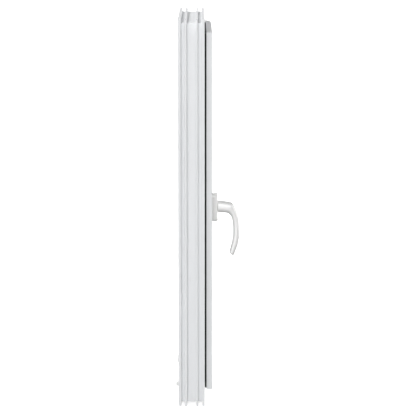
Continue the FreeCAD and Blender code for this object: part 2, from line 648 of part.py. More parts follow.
def gearbox_pocket():
    """Room milled out of the lock stile for the gearbox, the spindle and the handle screws."""
    pocket = block("lock", (SASH_EDGE - 1, CASE_U[1] + 0.3), (CASE_V[0] - 0.2, CASE_V[1] + 0.2),
                   (SPINDLE_Z - CASE_Z - 1, SPINDLE_Z + CASE_Z + 1))
    cuts = [pocket, handle_axis(7.0, -SASH_PROUD - 1, CASE_V[0])]
    cuts += [handle_axis(5.1, -SASH_PROUD - 1, -SASH_PROUD + 6.0, dz) for dz in (-ROSETTE_SCREW_Z, ROSETTE_SCREW_Z)]
    cuts += [handle_axis(2.7, -SASH_PROUD - 1, CASE_V[1] + 1.0, dz) for dz in (-ROSETTE_SCREW_Z, ROSETTE_SCREW_Z)]
    return cuts


# ---- handle -------------------------------------------------------------------------------------
ROSETTE_W = 30.0
ROSETTE_H = 74.0
BASE_T = 8.0
NECK_R = 13.6


def rosette_shape(inset, y_from, y_to, round_edge):
    """Plate with softly rounded ends, inset from the rosette's outline."""
    w, h = ROSETTE_W / 2 - inset, ROSETTE_H / 2 - inset
    r = 9.0 - inset
    plate = prism(
        [(-w, -h, r), (w, -h, r), (w, h, r), (-w, h, r)],
        lambda x, z: V(SPINDLE_X + x, y_from, SPINDLE_Z + z), V(0, y_to - y_from, 0))
    if not round_edge:
        return plate
    front = [e for e in plate.Edges if abs(e.CenterOfMass.y - y_to) < 0.01]
    return plate.makeFillet(round_edge, front)


def rosette_base():
    """Inner plate with two locating bosses, bored for the screws and the neck bush."""
    y0 = -SASH_PROUD
    base = rosette_shape(2.0, y0 - 0.02, y0 - BASE_T, 0)
    bosses = [handle_axis(5.0, y0 - 1.0, y0 + 5.0, dz) for dz in (-ROSETTE_SCREW_Z, ROSETTE_SCREW_Z)]
    base = base.fuse(bosses)
    holes = [handle_axis(2.6, y0 - BASE_T - 1, y0 + 6, dz) for dz in (-ROSETTE_SCREW_Z, ROSETTE_SCREW_Z)]
    heads = [handle_axis(4.8, y0 - BASE_T - 1, y0 - BASE_T + 3.4, dz) for dz in (-ROSETTE_SCREW_Z, ROSETTE_SCREW_Z)]
    return base.cut([*holes, *heads, handle_axis(9.0, y0 - BASE_T - 1, y0 + 1)]).removeSplitter().Solids[0]


def rosette_cover():
    """Snap-on cover that hides the screws, with a round hole for the neck."""
    y0 = -SASH_PROUD
    outer = rosette_shape(0.0, y0 - 0.02, y0 - ROSETTE_T, 2.5)
    inner = rosette_shape(1.8, y0 + 1.0, y0 - ROSETTE_T + 1.8, 0)
    return outer.cut([inner, handle_axis(10.6, y0 - ROSETTE_T - 1, y0)]).Solids[0]


def rosette_screws():
    """M5 pan-head screws from the rosette into the gearbox."""
    found = []
    y_head = -SASH_PROUD - BASE_T + 3.3
    for dz in (-ROSETTE_SCREW_Z, ROSETTE_SCREW_Z):
        head = handle_axis(4.6, y_head - 3.2, y_head, dz)
        top = [e for e in head.Edges if abs(e.CenterOfMass.y - y_head + 3.2) < 0.01]
        head = head.makeFillet(1.0, top)
        screw = head.fuse(handle_axis(2.5, y_head - 0.5, CASE_V[1] - 0.5, dz)).removeSplitter()
        crown = V(SPINDLE_X, y_head - 3.2, SPINDLE_Z + dz)
        found.append(screw.cut(cross_recess(crown, V(0, 1, 0), 5.2)).Solids[0])
    return found


GRIP_R = 156.0           # curve of the grip's centre line
GRIP_REACH = 65.5        # grip's furthest centre from the sash face
GRIP_BELLY = -62.0       # height of that point from the spindle
LEVER_TIP = -126.0
GRIP_THICK = 7.7         # half sizes of the grip's oval
GRIP_WIDE = 11.0
BEND = (-19.0, 37.5)     # where the curved grip starts, and where the straight neck ends


def grip_reach_at(b):
    """How far the grip's centre line stands out at height b from the spindle."""
    return GRIP_REACH - GRIP_R + math.sqrt(GRIP_R ** 2 - (b - GRIP_BELLY) ** 2)


def ease(x):
    """Smooth step from 0 to 1."""
    return x * x * (3 - 2 * x)


def lever_path(t):
    """Centre of the lever at t from 0, at the rosette, to 1, at the tip, as (a, b): out from the sash, and up."""
    neck_end = 0.22
    bend_end = 0.44
    if t <= neck_end:
        return ROSETTE_T - 1.0 + (BEND[1] - ROSETTE_T + 1.0) * t / neck_end, 0.0
    if t >= bend_end:
        b = BEND[0] + (LEVER_TIP - BEND[0]) * (t - bend_end) / (1 - bend_end)
        return grip_reach_at(b), b
    s = (t - neck_end) / (bend_end - neck_end)
    p0, p3 = (BEND[1], 0.0), (grip_reach_at(BEND[0]), BEND[0])
    slope = (BEND[0] - GRIP_BELLY) / math.sqrt(GRIP_R ** 2 - (BEND[0] - GRIP_BELLY) ** 2)
    p1, p2 = (p0[0] + 13.0, 0.0), (p3[0] - 11.0 * slope, p3[1] + 11.0)
    weights = ((1 - s) ** 3, 3 * s * (1 - s) ** 2, 3 * s * s * (1 - s), s ** 3)
    return tuple(sum(k * p[i] for k, p in zip(weights, (p0, p1, p2, p3))) for i in (0, 1))


def lever_section(t, scale=1.0):
    """Closed oval across the lever: full round at the neck, flatter along the grip."""
    a, b = lever_path(t)
    step = 0.004
    a0, b0 = lever_path(max(0.0, t - step))
    a1, b1 = lever_path(min(1.0, t + step))
    tangent = V(0, -(a1 - a0), b1 - b0).normalize()
    side = V(1, 0, 0)
    normal = tangent.cross(side)
    blend = ease(min(1.0, max(0.0, (t - 0.16) / 0.34)))
    thick = (NECK_R * (1 - blend) + GRIP_THICK * blend) * (1.0 - 0.10 * ease(max(0.0, (t - 0.5) / 0.5)))
    wide = (NECK_R * (1 - blend) + GRIP_WIDE * blend) * (1.0 - 0.12 * ease(max(0.0, (t - 0.5) / 0.5)))
    power = 2.0 + 0.5 * blend
    centre = V(SPINDLE_X, -SASH_PROUD - a, SPINDLE_Z + b)
    points = []
    for k in range(24):
        angle = 2 * math.pi * k / 24
        c, s = math.cos(angle), math.sin(angle)
        across = math.copysign(abs(c) ** (2 / power), c) * wide * scale
        up = math.copysign(abs(s) ** (2 / power), s) * thick * scale
        points.append(centre + side * across + normal * up)
    curve = Part.BSplineCurve()
    curve.interpolate(Points=points, PeriodicFlag=True)
    return Part.Wire(curve.toShape())


def lever():
    """The grip and neck in one casting, with a stub that turns in the rosette."""
    stations = [0.0, 0.1, 0.2, 0.26, 0.31, 0.36, 0.41, 0.47, 0.55, 0.66, 0.78, 0.88, 0.955]
    wires = [lever_section(t) for t in stations]
    wires += [lever_section(t, scale) for t, scale in ((0.985, 0.95), (1.0, 0.80))]
    grip = Part.makeLoft(wires, True, False)
    y0 = -SASH_PROUD
    stub = handle_axis(8.6, y0 - ROSETTE_T - 2.0, y0 - 1.0)
    shoulder = handle_axis(10.4, y0 - ROSETTE_T - 2.0, y0 - BASE_T - 2.0)
    body = grip.cut(handle_axis(30.0, y0 - ROSETTE_T - BODY_GAP, y0)).fuse([stub, shoulder])
    return body.cut(square_bar(3.5 + FIT, y0 - 36.0, y0 + 1)).removeSplitter().Solids[0]


# ---- glazing ------------------------------------------------------------------------------------
def pane(y_from):
    """One sheet of glass with its corners on the glass edge."""
    sheet = box_between(at("lock", GLASS_EDGE, y_from, GLASS_EDGE),
                        at("hinge", GLASS_EDGE, y_from + PANE, HEIGHT - GLASS_EDGE))
    return sheet.makeChamfer(0.4, sheet.Edges)


def packers():
    """Setting blocks between the glass edge and the rebate floor."""
    u, v = (GLASS_FLOOR + 0.05, GLASS_EDGE - 0.05), (GLASS_FRONT, GLASS_BACK)
    found = []
    for side, centres in (("bottom", (170, 410)), ("top", (170, 410)), ("lock", (190, 840)), ("hinge", (190, 840))):
        found += [block(side, u, v, (c - 40, c + 40)) for c in centres]
    return found


def run_up_block():
    """Plastic ramp on the sill that takes the closing sash's weight near the lock side."""
    profile = [(22.0, FRAME_LEG + 0.02), (46.0, FRAME_LEG + 0.02), (46.0, SASH_EDGE - 0.6, 1.0),
               (30.0, SASH_EDGE - 0.6, 2.0), (22.0, SASH_EDGE - 4.0, 1.0)]
    centre = -HALF + 150.0
    ramp = prism(profile, lambda y, z: V(centre - 25.0, y, z), V(50.0, 0, 0))
    pockets = [cylinder(V(centre + dx, 38.0, FRAME_LEG + 5.0), V(centre + dx, 38.0, SASH_EDGE + 1), 4.4)
               for dx in (-15.0, 15.0)]
    return ramp.cut(pockets)


def block_screws():
    """Two screws through the run-up block."""
    centre = -HALF + 150.0
    points = [V(centre + dx, 38.0, FRAME_LEG + 5.0) for dx in (-15.0, 15.0)]
    return Screws(points, V(0, 0, -1), 3.6, 2.0, 26.0)


def arm_screws():
    """Screws that hold the hinge leaves in the groove."""
    top = TOP_SASH_KNUCKLE[1]
    heights = [BOTTOM_SASH_KNUCKLE[1] + 12, BOTTOM_SASH_KNUCKLE[1] + 42, top - ARM_LEAF + 12, top - 42]
    return Screws([at("hinge", SASH_EDGE - 2.7, GROOVE_V, z) for z in heights], V(-1, 0, 0), 3.6, 2.0, 26.0)


# ---- assembly -----------------------------------------------------------------------------------
def frame_nodes():
    """Everything that stays with the wall."""
    holes = drain_slots() + keep_screws().holes() + bracket_screws().holes() + block_screws().holes()
    holes += mitre_grooves(0.0, 0.0, SASH_LIP) + mitre_grooves(DEPTH, 0.0, STOP_LEG)
    names = {"lock": "frame_jamb_lock", "hinge": "frame_jamb_hinge", "bottom": "frame_sill", "top": "frame_head"}
    nodes = {names[s]: [without(mitred(s, frame_outline(), frame_chambers()), holes)] for s in SIDES}
    section, bore = frame_steel_section()
    nodes["frame_steel_jambs"] = [without(s, holes) for s in steels(section, bore, ("lock", "hinge"), 75.0)]
    nodes["frame_steel_rails"] = [without(s, holes) for s in steels(section, bore, ("bottom", "top"), 75.0)]
    stop_face = SASH_BACK + STOP_GAP
    nodes["frame_seal"] = ring_of(seal_outline(STOP_LEG - 3.5, stop_face, SASH_BACK, 1.9, BODY_GAP))
    nodes["drain_caps"] = [drain_cap(x) for x in (-DRAIN_X, DRAIN_X)]
    nodes["lock_keeps"] = [without(k, keep_screws().holes()) for k in keeps()]
    nodes["keep_screws"] = keep_screws().solids()
    nodes["run_up_block"] = [without(run_up_block(), block_screws().holes())]
    nodes["run_up_block_screws"] = block_screws().solids()
    bottom = hinge_plate(BOTTOM_PLATE).fuse(frame_knuckle(BOTTOM_KNUCKLE, PIN_R + 0.02)).removeSplitter()
    top = hinge_plate(TOP_PLATE).fuse([frame_knuckle(k, PIN_R + 0.02) for k in TOP_KNUCKLES]).removeSplitter()
    nodes["bottom_hinge_bracket"] = [without(bottom, bracket_screws().holes())]
    nodes["top_hinge_bracket"] = [without(top, bracket_screws().holes())]
    nodes["hinge_bracket_screws"] = bracket_screws().solids()
    nodes["bottom_hinge_cover"] = [hinge_cover(BOTTOM_PLATE, [BOTTOM_KNUCKLE])]
    nodes["top_hinge_cover"] = [hinge_cover(TOP_PLATE, TOP_KNUCKLES)]
    nodes["bottom_hinge_pin"] = [hinge_pin(BOTTOM_KNUCKLE[0] - 2.0, BOTTOM_SASH_KNUCKLE[1] - 3.0,
                                           (BOTTOM_KNUCKLE[0] - 2.6, BOTTOM_KNUCKLE[0] - 0.1))]
    nodes["top_hinge_pin"] = [hinge_pin(TOP_KNUCKLES[0][0] - 2.0, TOP_KNUCKLES[1][1] - 0.5,
                                        (TOP_KNUCKLES[0][0] - 2.6, TOP_KNUCKLES[0][0] - 0.1))]
    nodes["hinge_washer"] = [tube(on_axis(BOTTOM_KNUCKLE[1] + 0.05), on_axis(BOTTOM_SASH_KNUCKLE[0] - 0.05),
                                  KNUCKLE_R, PIN_R + FIT)]
    nodes["frame_hinge_sleeves"] = sleeves([BOTTOM_KNUCKLE, *TOP_KNUCKLES], ((15.0, HINGE_U), (HINGE_V - 0.5, 0.0)))
    return nodes


def sash_nodes():
    """Everything that swings."""
    leaf_bottom = (BOTTOM_SASH_KNUCKLE[0], BOTTOM_SASH_KNUCKLE[0] + ARM_LEAF)
    leaf_top = (TOP_SASH_KNUCKLE[1] - ARM_LEAF, TOP_SASH_KNUCKLE[1])
    holes = forend_screws().holes() + arm_screws().holes() + gearbox_pocket()
    holes += mitre_grooves(-SASH_PROUD, SASH_LIP, BEAD_EDGE) + mitre_grooves(SASH_BACK, STOP_LEG, SIGHT_LINE - 6)
    names = {"lock": "sash_stile_lock", "hinge": "sash_stile_hinge", "bottom": "sash_bottom_rail",
             "top": "sash_top_rail"}
    nodes = {names[s]: [without(mitred(s, sash_outline(), sash_chambers()), holes)] for s in SIDES}
    steel_u, steel_v = (SASH_EDGE + 6.0, GLASS_FLOOR - WALL - 1.0), (23.0, LEG_FACE - WEB - 0.4)
    section = rectangle(steel_u, steel_v)
    bore = rectangle((steel_u[0] + 1.5, steel_u[1] - 1.5), (steel_v[0] + 1.5, steel_v[1] - 1.5))
    nodes["sash_steel_stiles"] = steels(section, bore, ("lock", "hinge"), 125.0)
    nodes["sash_steel_rails"] = steels(section, bore, ("bottom", "top"), 125.0)
    seals = ring_of(seal_outline(43.0, -SEAL_GAP, 0.0, 2.6, BODY_GAP))
    gaps = [block("hinge", (36.0, 50.0), (-SEAL_GAP - 0.01, 1.0), (a - 0.5, b + 0.5))
            for a, b in (BOTTOM_SASH_KNUCKLE, TOP_SASH_KNUCKLE)]
    nodes["sash_seal"] = [solid for s in seals for solid in without(s, gaps).Solids]
    beads = {s: mitred(s, bead_outline(), [bead_chamber()]) for s in SIDES}
    nodes.update({f"glazing_bead_{s}": [beads[s]] for s in SIDES})
    nodes["glazing_seal_outer"] = ring_of(seal_outline(GLAZING_SEAL_U, LEG_FACE, GLASS_BACK, 1.8, 0.02))
    nodes["glazing_seal_inner"] = ring_of(seal_outline(GLAZING_SEAL_U, BEAD_FACE, GLASS_FRONT, 1.8, 0.02))
    nodes["outer_pane"] = [pane(GLASS_BACK - PANE)]
    nodes["inner_pane"] = [pane(GLASS_FRONT)]
    gap = (GLASS_FRONT + PANE, GLASS_BACK - PANE)
    nodes["spacer_bar"] = ring_of(
        [(107.0, gap[0] + 0.2), (113.5, gap[0] + 0.2, 0.5), (113.5, gap[1] - 0.2, 0.5), (107.0, gap[1] - 0.2)],
        [rectangle((107.6, 112.9), (gap[0] + 0.8, gap[1] - 0.8))])
    nodes["edge_sealant"] = ring_of(rectangle((GLASS_EDGE + 0.5, 107.0), (gap[0] + 0.01, gap[1] - 0.01)))
    nodes["glazing_packers"] = packers()
    nodes["forend"] = [without(forend(), forend_screws().holes())]
    nodes["forend_screws"] = forend_screws().solids()
    case, lid = gearbox()
    nodes["gearbox_case"], nodes["gearbox_cover"] = [case], [lid]
    nodes["bottom_hinge_arm"] = [without(hinge_arm(BOTTOM_SASH_KNUCKLE, leaf_bottom), arm_screws().holes())]
    nodes["top_hinge_arm"] = [without(hinge_arm(TOP_SASH_KNUCKLE, leaf_top), arm_screws().holes())]
    nodes["hinge_arm_screws"] = arm_screws().solids()
    nodes["sash_hinge_sleeves"] = sleeves([BOTTOM_SASH_KNUCKLE, TOP_SASH_KNUCKLE],
                                          ((HINGE_U - 3.0, 40.0), (HINGE_V + 2.9, 0.0)))
    nodes["rosette_base"] = [rosette_base()]
    nodes["rosette_cover"] = [rosette_cover()]
    nodes["rosette_screws"] = rosette_screws()
    return nodes


def handle_nodes():
    """Everything that turns with the handle."""
    spindle = square_bar(3.5, -SASH_PROUD - 35.0, CASE_V[1] + 0.5)
    bush = tube(V(SPINDLE_X, -SASH_PROUD - BASE_T, SPINDLE_Z), V(SPINDLE_X, -SASH_PROUD - 1.0, SPINDLE_Z), 8.95, 8.62)
    return {
        "handle_lever": [lever()],
        "handle_spindle": [spindle.makeChamfer(0.5, [e for e in spindle.Edges if e.Length > 20])],
        "handle_bush": [bush],
        "gear_pinion": [pinion()],
    }


def drive_nodes():
    """Everything that slides with the rod."""
    return {"drive_rod": drive_rod(), "lock_cams": cams()}


def main():
    os.makedirs("parts", exist_ok=True)
    nodes = {**frame_nodes(), **sash_nodes(), **handle_nodes(), **drive_nodes()}
    for name, solids in nodes.items():
        shape = solids[0] if len(solids) == 1 else Part.makeCompound(solids)
        if shape.ShapeType == "Compound" and len(shape.Solids) == 1:
            shape = shape.Solids[0]
        for solid in shape.Solids:
            assert solid.isValid() and solid.Volume > 0, name
        shape.exportStep(os.path.join("parts", name + ".step"))
        print(f"{name}: {len(shape.Solids)} solids, {shape.Volume / 1000:.2f} cm3")
    print(len(nodes), "nodes")


main()
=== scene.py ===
import json
import logging
import math
from dataclasses import dataclass
from enum import Enum
from typing import Callable, Iterable, Sequence

import bmesh
import bpy
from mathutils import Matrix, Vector


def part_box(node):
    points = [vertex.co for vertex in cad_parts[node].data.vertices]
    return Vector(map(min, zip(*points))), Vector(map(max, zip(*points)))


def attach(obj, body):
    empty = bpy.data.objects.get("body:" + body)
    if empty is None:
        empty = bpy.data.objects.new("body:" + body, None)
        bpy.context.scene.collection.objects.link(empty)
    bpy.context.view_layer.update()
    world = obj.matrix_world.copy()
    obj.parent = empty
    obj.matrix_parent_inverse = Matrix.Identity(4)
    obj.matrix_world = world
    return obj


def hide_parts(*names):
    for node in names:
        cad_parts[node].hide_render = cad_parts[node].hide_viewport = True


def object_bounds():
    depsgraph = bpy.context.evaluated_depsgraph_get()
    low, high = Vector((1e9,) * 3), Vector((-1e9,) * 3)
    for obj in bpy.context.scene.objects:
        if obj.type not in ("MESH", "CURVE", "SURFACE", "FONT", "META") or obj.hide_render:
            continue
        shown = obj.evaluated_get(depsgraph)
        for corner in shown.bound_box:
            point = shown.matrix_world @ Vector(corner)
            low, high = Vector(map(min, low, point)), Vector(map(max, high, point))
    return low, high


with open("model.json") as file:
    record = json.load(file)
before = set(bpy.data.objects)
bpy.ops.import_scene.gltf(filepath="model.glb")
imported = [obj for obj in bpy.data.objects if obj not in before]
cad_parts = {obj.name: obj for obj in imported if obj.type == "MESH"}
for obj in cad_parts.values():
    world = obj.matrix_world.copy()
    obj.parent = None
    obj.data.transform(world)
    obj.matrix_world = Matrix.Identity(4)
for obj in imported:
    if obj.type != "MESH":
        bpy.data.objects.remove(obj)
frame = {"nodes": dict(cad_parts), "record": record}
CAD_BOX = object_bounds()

LOG = logging.getLogger("casement")
MM = 0.001
NEAR = 0.00001  # two places closer than this, in metres, are one
FACING = 0.99   # cosine over which a face or an edge counts as lying along a direction
SQUARE = 0.01   # cosine under which an edge counts as square to a direction


# ---- finishes -----------------------------------------------------------------------------------
class Grain(Enum):
    """The direction in which a finish was extruded, rolled or brushed."""

    WIDTH = "width"
    DEPTH = "depth"
    HEIGHT = "height"
    NONE = "none"

    def stretch(self, ratio: float) -> tuple[float, float, float]:
        """Scale of a pattern that is drawn out along the grain.

        Args:
            ratio: how much finer the pattern is along the grain, well under 1.

        Returns:
            The pattern's scale along X, Y and Z.
        """
        axes = {
            Grain.WIDTH: (ratio, 1.0, 1.0),
            Grain.DEPTH: (1.0, ratio, 1.0),
            Grain.HEIGHT: (1.0, 1.0, ratio),
        }
        return axes.get(self, (1.0, 1.0, 1.0))


class Graph:
    """One material's node tree, with short calls for the nodes that the finishes share."""

    def __init__(self, name: str) -> None:
        """Makes an empty material with a principled shader.

        Args:
            name: the material's name.
        """
        self.material = bpy.data.materials.new(name)
        self.material.use_nodes = True
        self.nodes = self.material.node_tree.nodes
        self.links = self.material.node_tree.links
        self.shader = self.nodes["Principled BSDF"]

    def node(self, kind: str, **settings: object) -> bpy.types.Node:
        """Adds a node.

        Args:
            kind: the node's type name.
            settings: attributes to set on it.

        Returns:
            The new node.
        """
        made = self.nodes.new(kind)
        for key, value in settings.items():
            setattr(made, key, value)
        return made

    def coordinates(self, scale: Sequence[float]) -> bpy.types.NodeSocket:
        """Object coordinates, scaled.

        Args:
            scale: the scale along X, Y and Z.

        Returns:
            The scaled vector socket.
        """
        source = self.node("ShaderNodeTexCoord")
        mapping = self.node("ShaderNodeMapping")
        mapping.inputs["Scale"].default_value = scale
        self.links.new(source.outputs["Object"], mapping.inputs["Vector"])
        return mapping.outputs["Vector"]

    def noise(self, scale: float, detail: float = 3.0,
              stretch: Sequence[float] = (1, 1, 1)) -> bpy.types.NodeSocket:
        """Fractal noise.

        Args:
            scale: features per metre.
            detail: octaves.
            stretch: scale of the coordinates along X, Y and Z.

        Returns:
            The noise's value socket, from 0 to 1.
        """
        made = self.node("ShaderNodeTexNoise")
        made.inputs["Scale"].default_value = scale
        made.inputs["Detail"].default_value = detail
        self.links.new(self.coordinates(stretch), made.inputs["Vector"])
        return made.outputs["Fac"]

    def cells(self, scale: float) -> bpy.types.Node:
        """Voronoi cells.

        Args:
            scale: cells per metre.

        Returns:
            The texture's node.
        """
        made = self.node("ShaderNodeTexVoronoi")
        made.inputs["Scale"].default_value = scale
        self.links.new(self.coordinates((1, 1, 1)), made.inputs["Vector"])
        return made

    def remap(self, value: bpy.types.NodeSocket, low: float, high: float,
              start: float = 0.3, stop: float = 0.7) -> bpy.types.NodeSocket:
        """Maps a value's middle range onto another range.

        Args:
            value: the socket to map.
            low: the result at start.
            high: the result at stop.
            start: where the input range begins.
            stop: where it ends.

        Returns:
            The mapped socket.
        """
        made = self.node("ShaderNodeMapRange")
        for key, number in (("From Min", start), ("From Max", stop), ("To Min", low), ("To Max", high)):
            made.inputs[key].default_value = number
        self.links.new(value, made.inputs["Value"])
        return made.outputs["Result"]

    def tint(self, value: bpy.types.NodeSocket,
             colours: Sequence[Sequence[float]]) -> bpy.types.NodeSocket:
        """Colours spread over a value's middle range.

        Args:
            value: the socket that chooses the colour.
            colours: red, green and blue of each stop, in order.

        Returns:
            The colour socket.
        """
        ramp = self.node("ShaderNodeValToRGB")
        stops = ramp.color_ramp.elements
        while len(stops) < len(colours):
            stops.new(0.5)
        for i, colour in enumerate(colours):
            stops[i].position = 0.3 + 0.4 * i / (len(colours) - 1)
            stops[i].color = (*colour, 1.0)
        self.links.new(value, ramp.inputs["Fac"])
        return ramp.outputs["Color"]

    def add(self, first: bpy.types.NodeSocket, second: bpy.types.NodeSocket,
            share: float) -> bpy.types.NodeSocket:
        """The first value plus a share of the second.

        Args:
            first: the socket that is taken whole.
            second: the socket that is taken in part.
            share: the part taken, under 0 to subtract it.

        Returns:
            The sum's socket.
        """
        made = self.node("ShaderNodeMath", operation="MULTIPLY_ADD")
        made.inputs[1].default_value = share
        self.links.new(second, made.inputs[0])
        self.links.new(first, made.inputs[2])
        return made.outputs["Value"]

    def weld(self, half_width: float, half_height: float, reach: float) -> bpy.types.NodeSocket:
        """How near a point is to the welded mitres of a frame that stands on the origin.

        Args:
            half_width: half the frame's outer width.
            half_height: half its outer height.
            reach: how far from the mitre the result falls to nothing.

        Returns:
            1 on a mitre, falling smoothly to 0 at reach.
        """
        source = self.node("ShaderNodeTexCoord")
        parts = self.node("ShaderNodeSeparateXYZ")
        self.links.new(source.outputs["Object"], parts.inputs["Vector"])
        across = self.math("ABSOLUTE", parts.outputs["X"])
        level = self.math("SUBTRACT", parts.outputs["Z"], half_height)
        up = self.math("ABSOLUTE", level)
        inset = self.math("SUBTRACT", across, up)
        apart = self.math("ABSOLUTE", self.math("SUBTRACT", inset, half_width - half_height))
        made = self.node("ShaderNodeMapRange", interpolation_type="SMOOTHSTEP")
        for key, number in (("From Min", 0.0), ("From Max", reach), ("To Min", 1.0), ("To Max", 0.0)):
            made.inputs[key].default_value = number
        self.links.new(apart, made.inputs["Value"])
        return made.outputs["Result"]

    def math(self, operation: str, first: bpy.types.NodeSocket,
             second: object = None) -> bpy.types.NodeSocket:
        """One step of arithmetic.

        Args:
            operation: the math node's operation.
            first: the socket that it works on.
            second: a number or another socket, where the operation takes two.

        Returns:
            The result's socket.
        """
        made = self.node("ShaderNodeMath", operation=operation)
        self.links.new(first, made.inputs[0])
        if isinstance(second, bpy.types.NodeSocket):
            self.links.new(second, made.inputs[1])
        elif second is not None:
            made.inputs[1].default_value = second
        return made.outputs["Value"]

    def bump(self, height: bpy.types.NodeSocket, distance: float, strength: float = 1.0) -> None:
        """Bumps the shader's normal.

        Args:
            height: the height socket.
            distance: the height of the relief, in metres.
            strength: how much of it shows.
        """
        made = self.node("ShaderNodeBump")
        made.inputs["Distance"].default_value = distance
        made.inputs["Strength"].default_value = strength
        self.links.new(height, made.inputs["Height"])
        self.links.new(made.outputs["Normal"], self.shader.inputs["Normal"])

    def set(self, **values: object) -> None:
        """Sets the shader's own sockets.

        Args:
            values: a number, a colour or a socket for each, with underscores for the spaces in its name.
        """
        for key, value in values.items():
            socket = self.shader.inputs[key.replace("_", " ")]
            if isinstance(value, bpy.types.NodeSocket):
                self.links.new(value, socket)
            else:
                socket.default_value = value


def shade(colour: Sequence[float], factor: float) -> tuple[float, ...]:
    """A colour made darker or lighter."""
    return tuple(min(1.0, c * factor) for c in colour)


@dataclass(frozen=True)
class Finish:
    """What every finish has: a name, a colour and a grain.

    Attributes:
        name: the material's name.
        colour: linear red, green and blue.
        grain: the direction of its fine lines.
    """

    name: str
    colour: tuple[float, float, float]
    grain: Grain = Grain.NONE

    def build(self) -> bpy.types.Material:
        """Makes the material, or finds it if it has been made.

        Returns:
            The material.
        """
        name = f"{self.name}_{self.grain.value}" if self.grain is not Grain.NONE else self.name
        found = bpy.data.materials.get(name)
        if found is not None:
            return found
        graph = Graph(name)
        self.dress(graph)
        graph.material.diffuse_color = (*self.colour, 1.0)
        return graph.material

    def dress(self, graph: Graph) -> None:
        """Fills the node tree. Each finish has its own.

        Args:
            graph: the material's node tree.
        """
        raise NotImplementedError


@dataclass(frozen=True)
class ExtrudedPvc(Finish):
    """White window profile: a satin skin with faint die lines along the bar, slow waves and welded mitres.

    Attributes:
        gloss: the skin's middle roughness.
        seam: half the width of the cleaned weld at a mitre, in metres.
        line_scale: die lines per metre.
        wave_scale: waves per metre.
        mottle_scale: blotches per metre.
        relief: the height of the surface's relief, in metres.
    """

    gloss: float = 0.3
    seam: float = 0.0015
    line_scale: float = 420.0
    wave_scale: float = 5.0
    mottle_scale: float = 30.0
    relief: float = 0.00003

    def dress(self, graph: Graph) -> None:
        """Fills the node tree.

        Args:
            graph: the material's node tree.
        """
        lines = graph.noise(self.line_scale, 2.0, self.grain.stretch(0.004))
        waves = graph.noise(self.wave_scale, 2.0, self.grain.stretch(0.25))
        mottle = graph.noise(self.mottle_scale, 4.0)
        cloud = graph.add(waves, mottle, 0.35)
        low, high = CAD_BOX
        weld = graph.weld((high.x - low.x) / 2, (high.z - low.z) / 2, self.seam)
        texture = graph.add(lines, mottle, 0.6)
        skin = graph.remap(texture, self.gloss - 0.03, self.gloss + 0.05, 0.5, 1.1)
        tones = (shade(self.colour, 0.9), shade(self.colour, 0.985), self.colour, shade(self.colour, 1.006))
        graph.set(
            Base_Color=graph.tint(graph.add(cloud, weld, -0.5), tones),
            Roughness=graph.add(skin, weld, 0.2),
            IOR=1.53,
        )
        relief = graph.add(graph.math("MULTIPLY", lines, 0.3), waves, 0.6)
        graph.bump(graph.add(relief, weld, -7.0), self.relief, 0.6)


@dataclass(frozen=True)
class MouldedPlastic(Finish):
    """Injection-moulded plastic with a fine eroded texture.

    Attributes:
        roughness: the middle roughness.
        relief: the height of the texture, in metres.
        texture_scale: grains of the texture per metre.
        flow_scale: clouds of flow per metre.
    """

    roughness: float = 0.42
    relief: float = 0.00003
    texture_scale: float = 1900.0
    flow_scale: float = 60.0

    def dress(self, graph: Graph) -> None:
        """Fills the node tree.

        Args:
            graph: the material's node tree.
        """
        texture = graph.noise(self.texture_scale, 3.0)
        flow = graph.noise(self.flow_scale, 3.0)
        rough = graph.add(flow, texture, 0.5)
        graph.set(
            Base_Color=graph.tint(flow, (shade(self.colour, 0.96), self.colour, shade(self.colour, 1.02))),
            Roughness=graph.remap(rough, self.roughness - 0.06, self.roughness + 0.08, 0.4, 1.1),
            IOR=1.5,
        )
        graph.bump(texture, self.relief, 0.7)


@dataclass(frozen=True)
class PowderCoat(Finish):
    """Powder-coated casting: a satin skin with the faint dimples of orange peel.

    Attributes:
        peel_scale: dimples per metre.
        handling_scale: clouds of handling per metre.
        relief: the depth of the dimples, in metres.
    """

    peel_scale: float = 620.0
    handling_scale: float = 26.0
    relief: float = 0.00005

    def dress(self, graph: Graph) -> None:
        """Fills the node tree.

        Args:
            graph: the material's node tree.
        """
        peel = graph.noise(self.peel_scale, 2.0)
        handling = graph.noise(self.handling_scale, 4.0)
        graph.set(
            Base_Color=graph.tint(handling, (shade(self.colour, 0.97), self.colour, shade(self.colour, 1.01))),
            Roughness=graph.remap(handling, 0.3, 0.4),
            IOR=1.5,
            Coat_Weight=0.25,
            Coat_Roughness=0.2,
        )
        graph.bump(peel, self.relief, 0.6)


@dataclass(frozen=True)
class SealRubber(Finish):
    """Black extruded rubber with fine lines and a little pale bloom.

    Attributes:
        line_scale: lines per metre.
        bloom_scale: patches of bloom per metre.
        relief: the height of the lines, in metres.
    """

    line_scale: float = 1400.0
    bloom_scale: float = 70.0
    relief: float = 0.00004

    def dress(self, graph: Graph) -> None:
        """Fills the node tree.

        Args:
            graph: the material's node tree.
        """
        lines = graph.noise(self.line_scale, 2.0, self.grain.stretch(0.01))
        bloom = graph.noise(self.bloom_scale, 5.0)
        graph.set(
            Base_Color=graph.tint(bloom, (shade(self.colour, 0.7), self.colour, shade(self.colour, 1.9))),
            Roughness=graph.remap(graph.add(bloom, lines, 0.4), 0.5, 0.7, 0.4, 1.0),
            Specular_IOR_Level=0.35,
        )
        graph.bump(lines, self.relief, 0.6)


